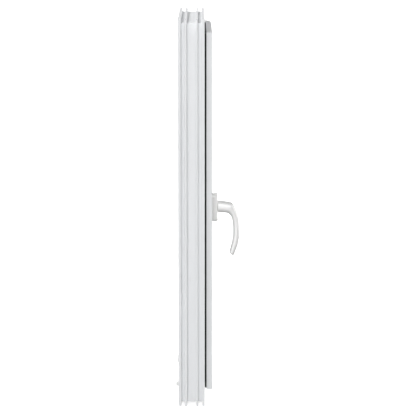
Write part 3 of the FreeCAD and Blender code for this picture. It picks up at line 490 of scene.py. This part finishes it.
@dataclass(frozen=True)
class PlatedSteel(Finish):
    """Zinc-plated steel: bright, faintly brushed, with cloudy passivation.

    Attributes:
        roughness: the middle roughness.
        brushed_scale: brush lines per metre.
        cloud_scale: clouds per metre.
        relief: the depth of the brush lines, in metres.
    """

    roughness: float = 0.3
    brushed_scale: float = 1300.0
    cloud_scale: float = 60.0
    relief: float = 0.00001

    def dress(self, graph: Graph) -> None:
        """Fills the node tree.

        Args:
            graph: the material's node tree.
        """
        brushed = graph.noise(self.brushed_scale, 2.0, self.grain.stretch(0.02))
        cloud = graph.noise(self.cloud_scale, 3.0)
        rough = graph.add(cloud, brushed, 0.6)
        warm = (self.colour[0] * 1.02, self.colour[1], self.colour[2] * 0.96)
        cool = (self.colour[0] * 0.97, self.colour[1], min(1.0, self.colour[2] * 1.02))
        graph.set(
            Base_Color=graph.tint(cloud, (cool, self.colour, warm)),
            Metallic=1.0,
            Roughness=graph.remap(rough, self.roughness - 0.03, self.roughness + 0.07, 0.5, 1.1),
        )
        graph.bump(brushed, self.relief, 0.5)


@dataclass(frozen=True)
class Galvanised(Finish):
    """Hot-dip galvanised steel with its crystal spangle.

    Attributes:
        spangle_scale: crystals per metre.
        relief: the height of the crystals, in metres.
    """

    spangle_scale: float = 140.0
    relief: float = 0.00003

    def dress(self, graph: Graph) -> None:
        """Fills the node tree.

        Args:
            graph: the material's node tree.
        """
        spangle = graph.cells(self.spangle_scale)
        separate = graph.node("ShaderNodeSeparateColor")
        graph.links.new(spangle.outputs["Color"], separate.inputs["Color"])
        facet = separate.outputs["Red"]
        graph.set(
            Base_Color=graph.tint(facet, (shade(self.colour, 0.82), self.colour, shade(self.colour, 1.15))),
            Metallic=1.0,
            Roughness=graph.remap(facet, 0.32, 0.52, 0.0, 1.0),
        )
        graph.bump(spangle.outputs["Distance"], self.relief, 0.4)


@dataclass(frozen=True)
class DieCast(Finish):
    """Bare die-cast metal: dull, slightly pitted.

    Attributes:
        pit_scale: pits per metre.
        cloud_scale: clouds per metre.
        relief: the depth of the pits, in metres.
    """

    pit_scale: float = 900.0
    cloud_scale: float = 50.0
    relief: float = 0.00005

    def dress(self, graph: Graph) -> None:
        """Fills the node tree.

        Args:
            graph: the material's node tree.
        """
        pits = graph.noise(self.pit_scale, 4.0)
        cloud = graph.noise(self.cloud_scale, 4.0)
        graph.set(
            Base_Color=graph.tint(cloud, (shade(self.colour, 0.85), self.colour, shade(self.colour, 1.08))),
            Metallic=1.0,
            Roughness=graph.remap(cloud, 0.42, 0.58),
        )
        graph.bump(pits, self.relief, 0.7)


@dataclass(frozen=True)
class FloatGlass(Finish):
    """Clear float glass with the faintest haze of handling.

    Attributes:
        haze_scale: patches of haze per metre.
    """

    haze_scale: float = 14.0

    def dress(self, graph: Graph) -> None:
        """Fills the node tree.

        Args:
            graph: the material's node tree.
        """
        haze = graph.noise(self.haze_scale, 4.0)
        graph.set(
            Base_Color=(*self.colour, 1.0),
            Transmission_Weight=1.0,
            Roughness=graph.remap(haze, 0.0, 0.012, 0.45, 0.75),
            IOR=1.52,
        )


@dataclass(frozen=True)
class Sealant(Finish):
    """Gunned sealant: dark, soft and slightly lumpy.

    Attributes:
        lump_scale: lumps per metre.
        relief: the height of the lumps, in metres.
    """

    lump_scale: float = 240.0
    relief: float = 0.0002

    def dress(self, graph: Graph) -> None:
        """Fills the node tree.

        Args:
            graph: the material's node tree.
        """
        lumps = graph.noise(self.lump_scale, 3.0)
        graph.set(
            Base_Color=graph.tint(lumps, (shade(self.colour, 0.8), self.colour, shade(self.colour, 1.3))),
            Roughness=graph.remap(lumps, 0.5, 0.68),
        )
        graph.bump(lumps, self.relief, 0.5)


@dataclass(frozen=True)
class StudioFloor(Finish):
    """Matt white studio floor, lit a little from behind as a light table is.

    Attributes:
        glow: how strongly it is lit from behind.
        paper_scale: clouds of the paper per metre.
    """

    glow: float = 0.75
    paper_scale: float = 3.0

    def dress(self, graph: Graph) -> None:
        """Fills the node tree.

        Args:
            graph: the material's node tree.
        """
        paper = graph.noise(self.paper_scale, 3.0)
        graph.set(
            Base_Color=graph.tint(paper, (shade(self.colour, 0.99), self.colour)),
            Roughness=graph.remap(paper, 0.85, 0.95),
            Specular_IOR_Level=0.1,
            Emission_Color=(1.0, 1.0, 1.0, 1.0),
            Emission_Strength=self.glow,
        )


@dataclass(frozen=True)
class StudioBackdrop(Finish):
    """A white dome that glows evenly and reflects nothing.

    Attributes:
        glow: how brightly it glows.
        haze_scale: clouds per metre.
    """

    glow: float = 2.2
    haze_scale: float = 0.05

    def dress(self, graph: Graph) -> None:
        """Fills the node tree.

        Args:
            graph: the material's node tree.
        """
        haze = graph.noise(self.haze_scale, 2.0)
        graph.set(
            Base_Color=(0.0, 0.0, 0.0, 1.0),
            Specular_IOR_Level=0.0,
            Emission_Color=graph.tint(haze, (shade(self.colour, 0.995), self.colour)),
            Emission_Strength=self.glow,
        )


WHITE_PVC = (0.86, 0.872, 0.885)
WHITE_CAP = (0.94, 0.94, 0.935)
WHITE_ENAMEL = (0.93, 0.93, 0.93)
ZINC = (0.72, 0.73, 0.74)


def finish_for(slot: str, grain: Grain) -> Finish:
    """The finish of a material slot.

    Args:
        slot: the record's material slot.
        grain: the direction in which the piece runs.

    Returns:
        The finish.
    """
    return {
        "frame_upvc": ExtrudedPvc("frame_upvc", WHITE_PVC, grain),
        # painted shade: the sash's white is 0.965 of the frame's, darkened for the shade that the frame casts
        # on the sash
        "sash_upvc": ExtrudedPvc("sash_upvc", shade(WHITE_PVC, 0.965), grain),
        "galvanised_steel": Galvanised("galvanised_steel", (0.55, 0.57, 0.6)),
        "seal_rubber": SealRubber("seal_rubber", (0.012, 0.012, 0.0125), grain),
        "white_caps": MouldedPlastic("white_caps", WHITE_CAP),
        "zinc_plate": PlatedSteel("zinc_plate", ZINC, grain),
        "screw_steel": PlatedSteel("screw_steel", shade(ZINC, 0.95), Grain.NONE, 0.24),
        "grey_nylon": MouldedPlastic("grey_nylon", (0.22, 0.225, 0.23), Grain.NONE, 0.5),
        "diecast_zinc": DieCast("diecast_zinc", (0.45, 0.46, 0.47)),
        "handle_enamel": PowderCoat("handle_enamel", WHITE_ENAMEL),
        "clear_glass": FloatGlass("clear_glass", (0.985, 0.996, 0.991)),
        "spacer_aluminium": PlatedSteel("spacer_aluminium", (0.68, 0.69, 0.7), grain, 0.34),
        "butyl_sealant": Sealant("butyl_sealant", (0.02, 0.02, 0.021)),
        "packer_plastic": MouldedPlastic("packer_plastic", (0.03, 0.1, 0.32), Grain.NONE, 0.45),
    }[slot]


# ---- modelling ----------------------------------------------------------------------------------
FaceTest = Callable[[bmesh.types.BMFace], bool]
EdgeTest = Callable[[bmesh.types.BMEdge], bool]
VertexTest = Callable[[bmesh.types.BMVert], bool]


class Piece:
    """One new piece while it is modelled: a primitive that is then shaped in edit mode."""

    def __init__(self, name: str) -> None:
        """Takes the primitive that has just been added.

        Args:
            name: the piece's name.
        """
        self.object = bpy.context.active_object
        self.object.name = name
        self.object.data.name = name
        self.name = name

    @classmethod
    def box(cls, name: str, low: Vector, high: Vector) -> "Piece":
        """A box primitive between two corners.

        Args:
            name: the piece's name.
            low: its lowest corner.
            high: its highest corner.

        Returns:
            The piece.
        """
        Piece.deselect()
        bpy.ops.mesh.primitive_cube_add(size=1.0, location=(low + high) / 2, scale=high - low)
        piece = cls(name)
        bpy.ops.object.transform_apply(location=True, rotation=True, scale=True)
        return piece

    @classmethod
    def cylinder(cls, name: str, start: Vector, end: Vector, radius: float, sides: int = 48) -> "Piece":
        """A cylinder primitive between two points.

        Args:
            name: the piece's name.
            start: the centre of one end.
            end: the centre of the other.
            radius: its radius.
            sides: how many sides it has.

        Returns:
            The piece.
        """
        Piece.deselect()
        turn = (end - start).to_track_quat("Z", "Y").to_euler()
        bpy.ops.mesh.primitive_cylinder_add(
            vertices=sides, radius=radius, depth=(end - start).length,
            location=(start + end) / 2, rotation=turn)
        piece = cls(name)
        bpy.ops.object.transform_apply(location=True, rotation=True, scale=True)
        return piece

    @staticmethod
    def deselect() -> None:
        """Deselects every object."""
        if bpy.context.active_object is not None and bpy.context.active_object.mode != "OBJECT":
            bpy.ops.object.mode_set(mode="OBJECT")
        bpy.ops.object.select_all(action="DESELECT")

    def edit(self) -> None:
        """Enters edit mode with nothing selected."""
        Piece.deselect()
        self.object.select_set(True)
        bpy.context.view_layer.objects.active = self.object
        bpy.ops.object.mode_set(mode="EDIT")
        bpy.ops.mesh.select_mode(type="VERT")
        bpy.ops.mesh.select_all(action="DESELECT")

    def leave(self) -> None:
        """Leaves edit mode."""
        bpy.ops.object.mode_set(mode="OBJECT")

    def pick(self, kind: str, elements: str, test: Callable[[object], bool]) -> None:
        """Selects the elements that pass a test, and nothing else.

        Args:
            kind: the select mode, VERT, EDGE or FACE.
            elements: the edit mesh's list of them.
            test: the test.
        """
        bpy.ops.mesh.select_mode(type=kind)
        bpy.ops.mesh.select_all(action="DESELECT")
        mesh = bmesh.from_edit_mesh(self.object.data)
        for element in getattr(mesh, elements):
            element.select_set(test(element))
        bmesh.update_edit_mesh(self.object.data)

    def pick_faces(self, test: FaceTest) -> None:
        """Selects the faces that pass a test, in face mode."""
        self.pick("FACE", "faces", test)

    def pick_edges(self, test: EdgeTest) -> None:
        """Selects the edges that pass a test, in edge mode."""
        self.pick("EDGE", "edges", test)

    def pick_vertices(self, test: VertexTest) -> None:
        """Selects the vertices that pass a test, in vertex mode."""
        self.pick("VERT", "verts", test)

    def modify(self, kind: str, **settings: object) -> None:
        """Adds a modifier, sets it and applies it.

        Args:
            kind: the modifier's type name.
            settings: attributes to set on it.
        """
        Piece.deselect()
        self.object.select_set(True)
        bpy.context.view_layer.objects.active = self.object
        made = self.object.modifiers.new(kind.lower(), kind)
        for key, value in settings.items():
            setattr(made, key, value)
        bpy.ops.object.modifier_apply(modifier=made.name)

    def cut(self, tool: "Piece") -> None:
        """Cuts another piece out of this one and removes that piece."""
        self.modify("BOOLEAN", object=tool.object, operation="DIFFERENCE", solver="EXACT")
        bpy.data.objects.remove(tool.object, do_unlink=True)

    def join(self, others: Iterable["Piece"]) -> None:
        """Joins other pieces into this one.

        Args:
            others: the pieces to join, which are then gone.
        """
        Piece.deselect()
        for other in others:
            other.object.select_set(True)
        self.object.select_set(True)
        bpy.context.view_layer.objects.active = self.object
        bpy.ops.object.join()

    def outwards(self) -> None:
        """Merges doubles and turns the normals outwards."""
        self.edit()
        bpy.ops.mesh.select_all(action="SELECT")
        bpy.ops.mesh.remove_doubles(threshold=NEAR)
        bpy.ops.mesh.normals_make_consistent(inside=False)
        self.leave()

    def deliver(self, body: str, slot: str, finish: Finish,
                replaces: Sequence[str] = (), smooth: float = 38.0) -> None:
        """Shades the piece, dresses it and hands it to the frame.

        Args:
            body: the CAD body that it moves with.
            slot: the record's material slot; not used.
            finish: its finish.
            replaces: the CAD nodes that it stands for.
            smooth: the angle, in degrees, under which edges are shaded smooth.
        """
        Piece.deselect()
        self.object.select_set(True)
        bpy.context.view_layer.objects.active = self.object
        bpy.ops.object.shade_smooth_by_angle(angle=math.radians(smooth))
        self.object.data.materials.clear()
        self.object.data.materials.append(finish.build())
        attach(self.object, body)
        if replaces:
            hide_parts(*replaces)
        LOG.info("%s: %d faces on %s", self.name, len(self.object.data.polygons), body)


def run_of(edge: bmesh.types.BMEdge) -> Vector:
    """The unit vector along an edge."""
    return (edge.verts[0].co - edge.verts[1].co).normalized()


def middle(node: str) -> Vector:
    """The centre of a CAD node's box."""
    low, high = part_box(node)
    return (low + high) / 2


# ---- handle -------------------------------------------------------------------------------------
@dataclass
class Handle:
    """The lever handle: a square-sided neck that bends into a slimmer grip, and its rosette's cover.

    Each section of the lever is given by its outer and its inner point, in millimetres out from the sash face
    and up from the spindle.
    """

    sections: tuple[tuple[float, float, float, float], ...] = (
        (11.5, 9.4, 11.5, -9.4),
        (14.7, 9.4, 14.7, -9.4),
        (15.0, 10.2, 15.0, -10.2),
        (15.1, 15.2, 15.1, -12.6),
        (16.0, 16.2, 16.0, -13.2),
        (24.0, 16.2, 24.0, -13.4),
        (32.0, 15.6, 31.6, -13.8),
        (40.0, 14.4, 37.3, -14.6),
        (48.0, 12.8, 41.4, -16.0),
        (52.0, 11.8, 43.8, -17.4),
        (54.2, 9.6, 45.4, -18.7),
        (58.1, 2.6, 48.4, -21.7),
        (62.4, -6.2, 51.2, -26.3),
        (66.3, -15.8, 53.0, -31.7),
        (69.6, -27.0, 54.2, -39.1),
        (71.9, -41.5, 55.2, -48.3),
        (73.1, -58.5, 55.9, -60.0),
        (72.8, -74.5, 55.7, -72.5),
        (71.2, -88.0, 54.3, -84.5),
        (68.2, -101.0, 51.8, -97.0),
        (64.0, -113.0, 48.9, -108.5),
        (60.4, -122.0, 46.5, -117.0),
        (57.0, -129.3, 45.9, -120.5),
    )
    neck_half_width: float = 13.6 * MM
    grip_half_width: float = 11.4 * MM
    first_wide: int = 7
    last_wide: int = 15
    corner_share: float = 0.72
    corner_steps: int = 4
    skin_gain: float = 1.0165
    tip_steps: tuple[tuple[float, float], ...] = (
        (0.9 * MM, 0.94),
        (0.5 * MM, 0.86),
        (0.15 * MM, 0.7),
        (0.0, 0.4),
    )
    corner_radius: float = 9.0 * MM
    rim_radius: float = 3.6 * MM
    foot_height: float = 4.2 * MM
    foot_step: float = 0.45 * MM
    shell: float = 1.8 * MM
    neck_hole: float = 10.6 * MM
    hole_depth: float = 30.0 * MM

    def __post_init__(self) -> None:
        """Finds the spindle's axis, the sash's room face and the rosette's corners."""
        self.axis = middle("handle_spindle")
        self.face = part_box("sash_stile_lock")[0].y
        self.cover_low, self.cover_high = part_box("rosette_cover")

    def place(self, out: float, up: float) -> Vector:
        """Point at a distance out from the sash face and up from the spindle."""
        return Vector((self.axis.x, self.face - out, self.axis.z + up))

    def section(self, i: int) -> tuple[Vector, float, float, float]:
        """One section of the lever.

        Args:
            i: its number, from the rosette on.

        Returns:
            Its centre, half width, half thickness and lean, which is 0 where it faces the room.
        """
        a, b, c, d = (value * MM for value in self.sections[i])
        across = Vector((a - c, b - d))
        share = min(1.0, max(0.0, (i - self.first_wide) / (self.last_wide - self.first_wide)))
        blend = share * share * (3 - 2 * share)
        wide = self.neck_half_width * (1 - blend) + self.grip_half_width * blend
        wide = min(wide, across.length / 2) if blend == 0.0 else wide
        lean = math.atan2(across.y, across.x) - math.pi / 2
        thick = across.length / 2
        return self.place((a + c) / 2, (b + d) / 2), wide * self.skin_gain, thick * self.skin_gain, lean

    def lever(self) -> None:
        """Extrudes the lever section by section, turning each to its lean, and rounds its tip."""
        centre, wide, thick, lean = self.section(0)
        Piece.deselect()
        bpy.ops.mesh.primitive_plane_add(size=2.0, location=centre, rotation=(math.pi / 2, 0, 0))
        piece = Piece("lever_grip")
        piece.edit()
        bpy.ops.mesh.select_all(action="SELECT")
        bpy.ops.mesh.bevel(offset=self.corner_share, segments=self.corner_steps, affect="VERTICES")
        piece.leave()
        piece.object.scale = (wide, thick, 1.0)
        bpy.ops.object.transform_apply(location=True, rotation=True, scale=True)
        piece.edit()
        bpy.ops.mesh.select_all(action="SELECT")
        for i in range(1, len(self.sections)):
            goal, new_wide, new_thick, new_lean = self.section(i)
            bpy.ops.mesh.extrude_region_move(TRANSFORM_OT_translate={"value": goal - centre})
            self.turn(-lean, goal)
            bpy.ops.transform.resize(value=(new_wide / wide, 1.0, new_thick / thick), center_override=goal)
            self.turn(new_lean, goal)
            centre, wide, thick, lean = goal, new_wide, new_thick, new_lean
        self.round_tip(centre, lean)
        piece.leave()
        piece.outwards()
        piece.modify("SUBSURF", levels=2, render_levels=2)
        finish = finish_for("handle_enamel", Grain.NONE)
        piece.deliver("handle", "handle_enamel", finish, ["handle_lever"], 80.0)

    @staticmethod
    def turn(angle: float, centre: Vector) -> None:
        """Turns the selected ring about the line along X through its centre, up where the angle is positive."""
        if abs(angle) > 1e-6:
            bpy.ops.transform.rotate(value=angle, orient_axis="X", orient_type="GLOBAL", center_override=centre)

    def round_tip(self, centre: Vector, lean: float) -> None:
        """Rounds the tip with a few rings, each smaller than the one before.

        Args:
            centre: the middle of the last section.
            lean: its lean.
        """
        ahead = Vector((0.0, -math.cos(lean), math.sin(lean)))
        done = 1.0
        for step, scale in self.tip_steps:
            bpy.ops.mesh.extrude_region_move(TRANSFORM_OT_translate={"value": ahead * step})
            centre = centre + ahead * step
            bpy.ops.transform.resize(value=(scale / done,) * 3, center_override=centre)
            done = scale

    def rosette(self) -> None:
        """The snap-on cover: a rounded shell with a set-in foot, a soft front rim and a hole for the neck."""
        low, high = self.cover_low, self.cover_high
        piece = Piece.box("rosette_shell", low, high)
        piece.edit()
        piece.pick_edges(lambda e: abs(run_of(e).y) > FACING)
        bpy.ops.mesh.bevel(offset=self.corner_radius, segments=9, affect="EDGES")
        for back in (self.foot_height, self.foot_height - self.foot_step):
            bpy.ops.mesh.select_all(action="SELECT")
            bpy.ops.mesh.bisect(plane_co=(0.0, high.y - back, 0.0), plane_no=(0.0, 1.0, 0.0))
        piece.pick_faces(lambda f: f.normal.y < -FACING)
        bpy.ops.mesh.bevel(offset=self.rim_radius, segments=7, affect="EDGES")
        piece.pick_faces(lambda f: f.normal.y > FACING)
        bpy.ops.mesh.delete(type="FACE")
        foot = high.y - self.foot_height + self.foot_step / 2
        piece.pick_vertices(lambda v: v.co.y > foot)
        half = (high - low) / 2
        step = self.foot_step
        bpy.ops.transform.resize(
            value=(1 - step / half.x, 1.0, 1 - step / half.z),
            center_override=Vector((self.axis.x, 0, self.axis.z)))
        piece.leave()
        piece.outwards()
        piece.modify("SOLIDIFY", thickness=self.shell, offset=-1.0)
        start, end = self.place(0.0, 0.0), self.place(self.hole_depth, 0.0)
        hole = Piece.cylinder("neck_hole", start, end, self.neck_hole)
        piece.cut(hole)
        piece.deliver("sash", "white_caps", finish_for("white_caps", Grain.NONE), ["rosette_cover"], 30.0)

    def build(self) -> None:
        """Builds the handle's pieces."""
        self.lever()
        self.rosette()


# ---- drain hoods --------------------------------------------------------------------------------
@dataclass
class DrainHoods:
    """Hooded caps over the drain slots of the sill, open below."""

    length: float = 42.0 * MM
    wall: float = 1.3 * MM
    front_round: float = 3.6 * MM
    edge_round: float = 0.9 * MM
    hollow_share: float = 0.62

    def hood(self, name: str, low: Vector, high: Vector) -> None:
        """Models one hood.

        Args:
            name: the piece's name.
            low: its lowest corner.
            high: its highest corner.
        """
        def clear_of_sill(edge: bmesh.types.BMEdge) -> bool:
            """Whether an edge stands proud of the sill's face."""
            return min(v.co.y for v in edge.verts) > low.y + NEAR

        piece = Piece.box(name, low, high)
        piece.edit()
        piece.pick_edges(lambda e: all(v.co.y > high.y - NEAR and v.co.z > high.z - NEAR for v in e.verts))
        bpy.ops.mesh.bevel(offset=self.front_round, segments=6, affect="EDGES")
        piece.pick_edges(
            lambda e: clear_of_sill(e) and (abs(run_of(e).x) < SQUARE or abs(run_of(e).z) > FACING))
        bpy.ops.mesh.bevel(offset=self.edge_round, segments=3, affect="EDGES")
        piece.pick_faces(lambda f: f.normal.z < -FACING)
        bpy.ops.mesh.inset(thickness=self.wall)
        rise = (high.z - low.z) * self.hollow_share
        bpy.ops.mesh.extrude_region_move(TRANSFORM_OT_translate={"value": (0.0, 0.0, rise)})
        piece.leave()
        piece.outwards()
        piece.deliver("frame", "white_caps", finish_for("white_caps", Grain.NONE), ["drain_caps"], 40.0)

    def build(self) -> None:
        """Models both hoods."""
        low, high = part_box("drain_caps")
        self.hood("drain_hood_lock_side", low, Vector((low.x + self.length, high.y, high.z)))
        self.hood("drain_hood_hinge_side", Vector((high.x - self.length, low.y, low.z)), high)


# ---- glass unit ---------------------------------------------------------------------------------
@dataclass
class SpacerVents:
    """The rows of vent slits pressed in the inner face of the spacer bar."""

    pitch: float = 7.0 * MM
    slit: tuple[float, float, float] = (2.4 * MM, 0.5 * MM, 0.12 * MM)
    row_gap: float = 4.2 * MM
    lip: float = 0.12 * MM
    recess_share: float = 0.6
    bar_depth: float = 6.5 * MM
    corner_inset: float = 14.0 * MM

    def slits(self, name: str, start: Vector, run: Vector, inward: Vector, count: int) -> Piece:
        """One side's two rows of slits.

        Args:
            name: the piece's name.
            start: the middle of the first slit.
            run: unit vector along the side.
            inward: unit vector into the glass.
            count: how many slits a row has.

        Returns:
            The piece with both rows.
        """
        length, width, height = self.slit
        across = run.cross(inward)
        half = (run * length + across * width + inward * height) / 2
        corner = Vector([abs(c) for c in half])
        first = start - across * self.row_gap / 2
        piece = Piece.box(name, first - corner, first + corner)
        piece.edit()
        piece.pick_faces(lambda f: f.normal.dot(inward) > FACING)
        bpy.ops.mesh.inset(thickness=self.lip)
        bpy.ops.mesh.extrude_region_move(TRANSFORM_OT_translate={"value": inward * -height * self.recess_share})
        piece.leave()
        piece.modify("ARRAY", count=count, use_relative_offset=False, use_constant_offset=True,
                     constant_offset_displace=run * self.pitch)
        piece.modify("ARRAY", count=2, use_relative_offset=False, use_constant_offset=True,
                     constant_offset_displace=across * self.row_gap)
        return piece

    def build(self) -> None:
        """Builds the slits of all four sides as one piece."""
        low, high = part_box("spacer_bar")
        depth, inset = self.bar_depth, self.corner_inset
        centre = (low + high) / 2
        sides = []
        for sign, name in ((-1, "left"), (1, "right")):
            face = centre.x + sign * ((high.x - low.x) / 2 - depth)
            count = int((high.z - low.z - 2 * inset) / self.pitch)
            start = Vector((face, centre.y, low.z + inset))
            up, inward = Vector((0, 0, 1)), Vector((-sign, 0, 0))
            sides.append(self.slits(f"vents_{name}", start, up, inward, count))
        for sign, name in ((-1, "below"), (1, "above")):
            face = centre.z + sign * ((high.z - low.z) / 2 - depth)
            count = int((high.x - low.x - 2 * inset) / self.pitch)
            start = Vector((low.x + inset, centre.y, face))
            along, inward = Vector((1, 0, 0)), Vector((0, 0, -sign))
            sides.append(self.slits(f"vents_{name}", start, along, inward, count))
        first = sides[0]
        first.join(sides[1:])
        first.name = "spacer_vents"
        first.object.name = first.name
        finish = PlatedSteel("vent_shadow", (0.1, 0.1, 0.1), Grain.NONE, 0.5)
        first.deliver("sash", "spacer_aluminium", finish)


# ---- CAD nodes ----------------------------------------------------------------------------------
LEVEL_NODES = (
    "frame_sill",
    "frame_head",
    "sash_bottom_rail",
    "sash_top_rail",
    "glazing_bead_bottom",
    "glazing_bead_top",
)


def dress_cad_nodes() -> None:
    """Gives every CAD node the finish of its slot, with the grain along the piece."""
    for entry in frame["record"]["subparts"]:
        node, slot = entry["node"], entry["material_slot"]
        grain = Grain.WIDTH if node in LEVEL_NODES else Grain.HEIGHT
        target = frame["nodes"][node]
        target.data.materials.clear()
        target.data.materials.append(finish_for(slot, grain).build())
        LOG.info("%s: finish %s", node, slot)


# ---- studio -------------------------------------------------------------------------------------
@dataclass(frozen=True)
class Lamp:
    """A broad, distant, soft lamp.

    Attributes:
        name: the lamp's name.
        source: the direction in which it stands.
        spread: how wide it looks from the window, in degrees.
        strength: its strength, in watts per square metre.
        mirrored: whether glossy surfaces show it.
        distance: how far off its handle is hung, which changes nothing in its light.
    """

    name: str
    source: tuple[float, float, float]
    spread: float
    strength: float
    mirrored: bool = True
    distance: float = 3.0

    def hang(self) -> None:
        """Adds the lamp to the scene."""
        data = bpy.data.lights.new(self.name, "SUN")
        data.angle = math.radians(self.spread)
        data.energy = self.strength
        lamp = bpy.data.objects.new(self.name, data)
        bpy.context.scene.collection.objects.link(lamp)
        lamp.visible_glossy = self.mirrored
        lamp.location = Vector(self.source) * self.distance
        lamp.rotation_euler = Vector(self.source).to_track_quat("Z", "Y").to_euler()
        LOG.info("lamp %s", self.name)


@dataclass
class Studio:
    """A pale floor, an even white surround, broad soft lamps and the camera.

    Attributes:
        surround: how bright the surround is at each height, from -1 straight below to 1 straight above.
        sight: how far the camera sees, in metres.
    """

    floor_size: float = 160.0
    backdrop_radius: float = 45.0
    backdrop_glow: float = 2.2
    floor_colour: tuple[float, float, float] = (0.9, 0.9, 0.9)
    floor_glow: float = 0.75
    surround: tuple[tuple[float, float], ...] = ((-0.2, 0.2), (0.0, 0.36), (0.5, 0.26))
    lamps: tuple[Lamp, ...] = (
        Lamp("front", (-1.0, 0.12, 0.2), 50.0, 2.0),
        Lamp("top", (-0.02, 0.53, 0.85), 26.0, 2.35, mirrored=False),
        Lamp("room", (0.14, -1.0, 0.1), 50.0, 1.85),
        Lamp("far_side", (1.0, -0.1, 0.25), 60.0, 1.0, mirrored=False),
    )
    camera_place: tuple[float, float, float] = (-4.9348, 0.0132, 1.298)
    camera_pitch: float = 9.31
    camera_yaw: float = -0.270
    lens: float = 155.4
    sensor_width: float = 36.0
    sight: float = 500.0

    def floor(self) -> None:
        """Lays the floor under the window."""
        Piece.deselect()
        bpy.ops.mesh.primitive_plane_add(size=self.floor_size, location=(0, 0, CAD_BOX[0].z))
        floor = bpy.context.active_object
        floor.name = "studio_floor"
        bpy.ops.object.transform_apply(location=True, rotation=True, scale=True)
        finish = StudioFloor("studio_floor", self.floor_colour, glow=self.floor_glow)
        floor.data.materials.append(finish.build())
        floor.visible_diffuse = False
        floor.visible_glossy = False

    def backdrop(self) -> None:
        """Hangs a white dome all round, which the camera sees and which casts no light on the window."""
        Piece.deselect()
        bpy.ops.mesh.primitive_ico_sphere_add(subdivisions=5, radius=self.backdrop_radius, location=(0, 0, 0))
        dome = bpy.context.active_object
        dome.name = "studio_backdrop"
        finish = StudioBackdrop("studio_backdrop", (1.0, 1.0, 1.0), glow=self.backdrop_glow)
        dome.data.materials.append(finish.build())
        dome.visible_diffuse = False
        dome.visible_glossy = False
        dome.visible_shadow = False

    def world(self) -> None:
        """Even light from all round, dimmer from below. The ramp's 0 to 1 stands for heights of -1 to 1."""
        world = bpy.data.worlds.new("studio")
        bpy.context.scene.world = world
        world.use_nodes = True
        nodes, links = world.node_tree.nodes, world.node_tree.links
        coordinates = nodes.new("ShaderNodeTexCoord")
        separate = nodes.new("ShaderNodeSeparateXYZ")
        height = nodes.new("ShaderNodeMath")
        height.operation = "MULTIPLY_ADD"
        height.inputs[1].default_value = 0.5
        height.inputs[2].default_value = 0.5
        ramp = nodes.new("ShaderNodeValToRGB")
        stops = ramp.color_ramp.elements
        while len(stops) < len(self.surround):
            stops.new(0.5)
        for stop, (level, light) in zip(stops, self.surround):
            stop.position = level / 2 + 0.5
            stop.color = (light, light, light, 1.0)
        links.new(coordinates.outputs["Generated"], separate.inputs["Vector"])
        links.new(separate.outputs["Z"], height.inputs[0])
        links.new(height.outputs["Value"], ramp.inputs["Fac"])
        links.new(ramp.outputs["Color"], nodes["Background"].inputs["Color"])
        nodes["Background"].inputs["Strength"].default_value = 1.0

    def camera(self) -> None:
        """Sets up the camera on the lock side, looking along the wall."""
        data = bpy.data.cameras.new("camera")
        data.lens = self.lens
        data.sensor_width = self.sensor_width
        data.clip_end = self.sight
        camera = bpy.data.objects.new("camera", data)
        bpy.context.scene.collection.objects.link(camera)
        camera.location = self.camera_place
        pitch, yaw = math.radians(self.camera_pitch), math.radians(self.camera_yaw)
        gaze = Vector((math.cos(pitch) * math.cos(yaw), math.cos(pitch) * math.sin(yaw), -math.sin(pitch)))
        camera.rotation_euler = gaze.to_track_quat("-Z", "Y").to_euler()
        bpy.context.scene.camera = camera

    def build(self) -> None:
        """Builds the studio."""
        self.floor()
        self.backdrop()
        self.world()
        for lamp in self.lamps:
            lamp.hang()
        self.camera()
        bpy.context.scene.view_settings.view_transform = "Standard"


def main() -> None:
    """Builds the studio, the finishes and the pieces."""
    logging.basicConfig(level=logging.INFO, format="%(name)s %(message)s")
    Studio().build()
    dress_cad_nodes()
    Handle().build()
    DrainHoods().build()
    SpacerVents().build()


if __name__ == "__main__":
    main()
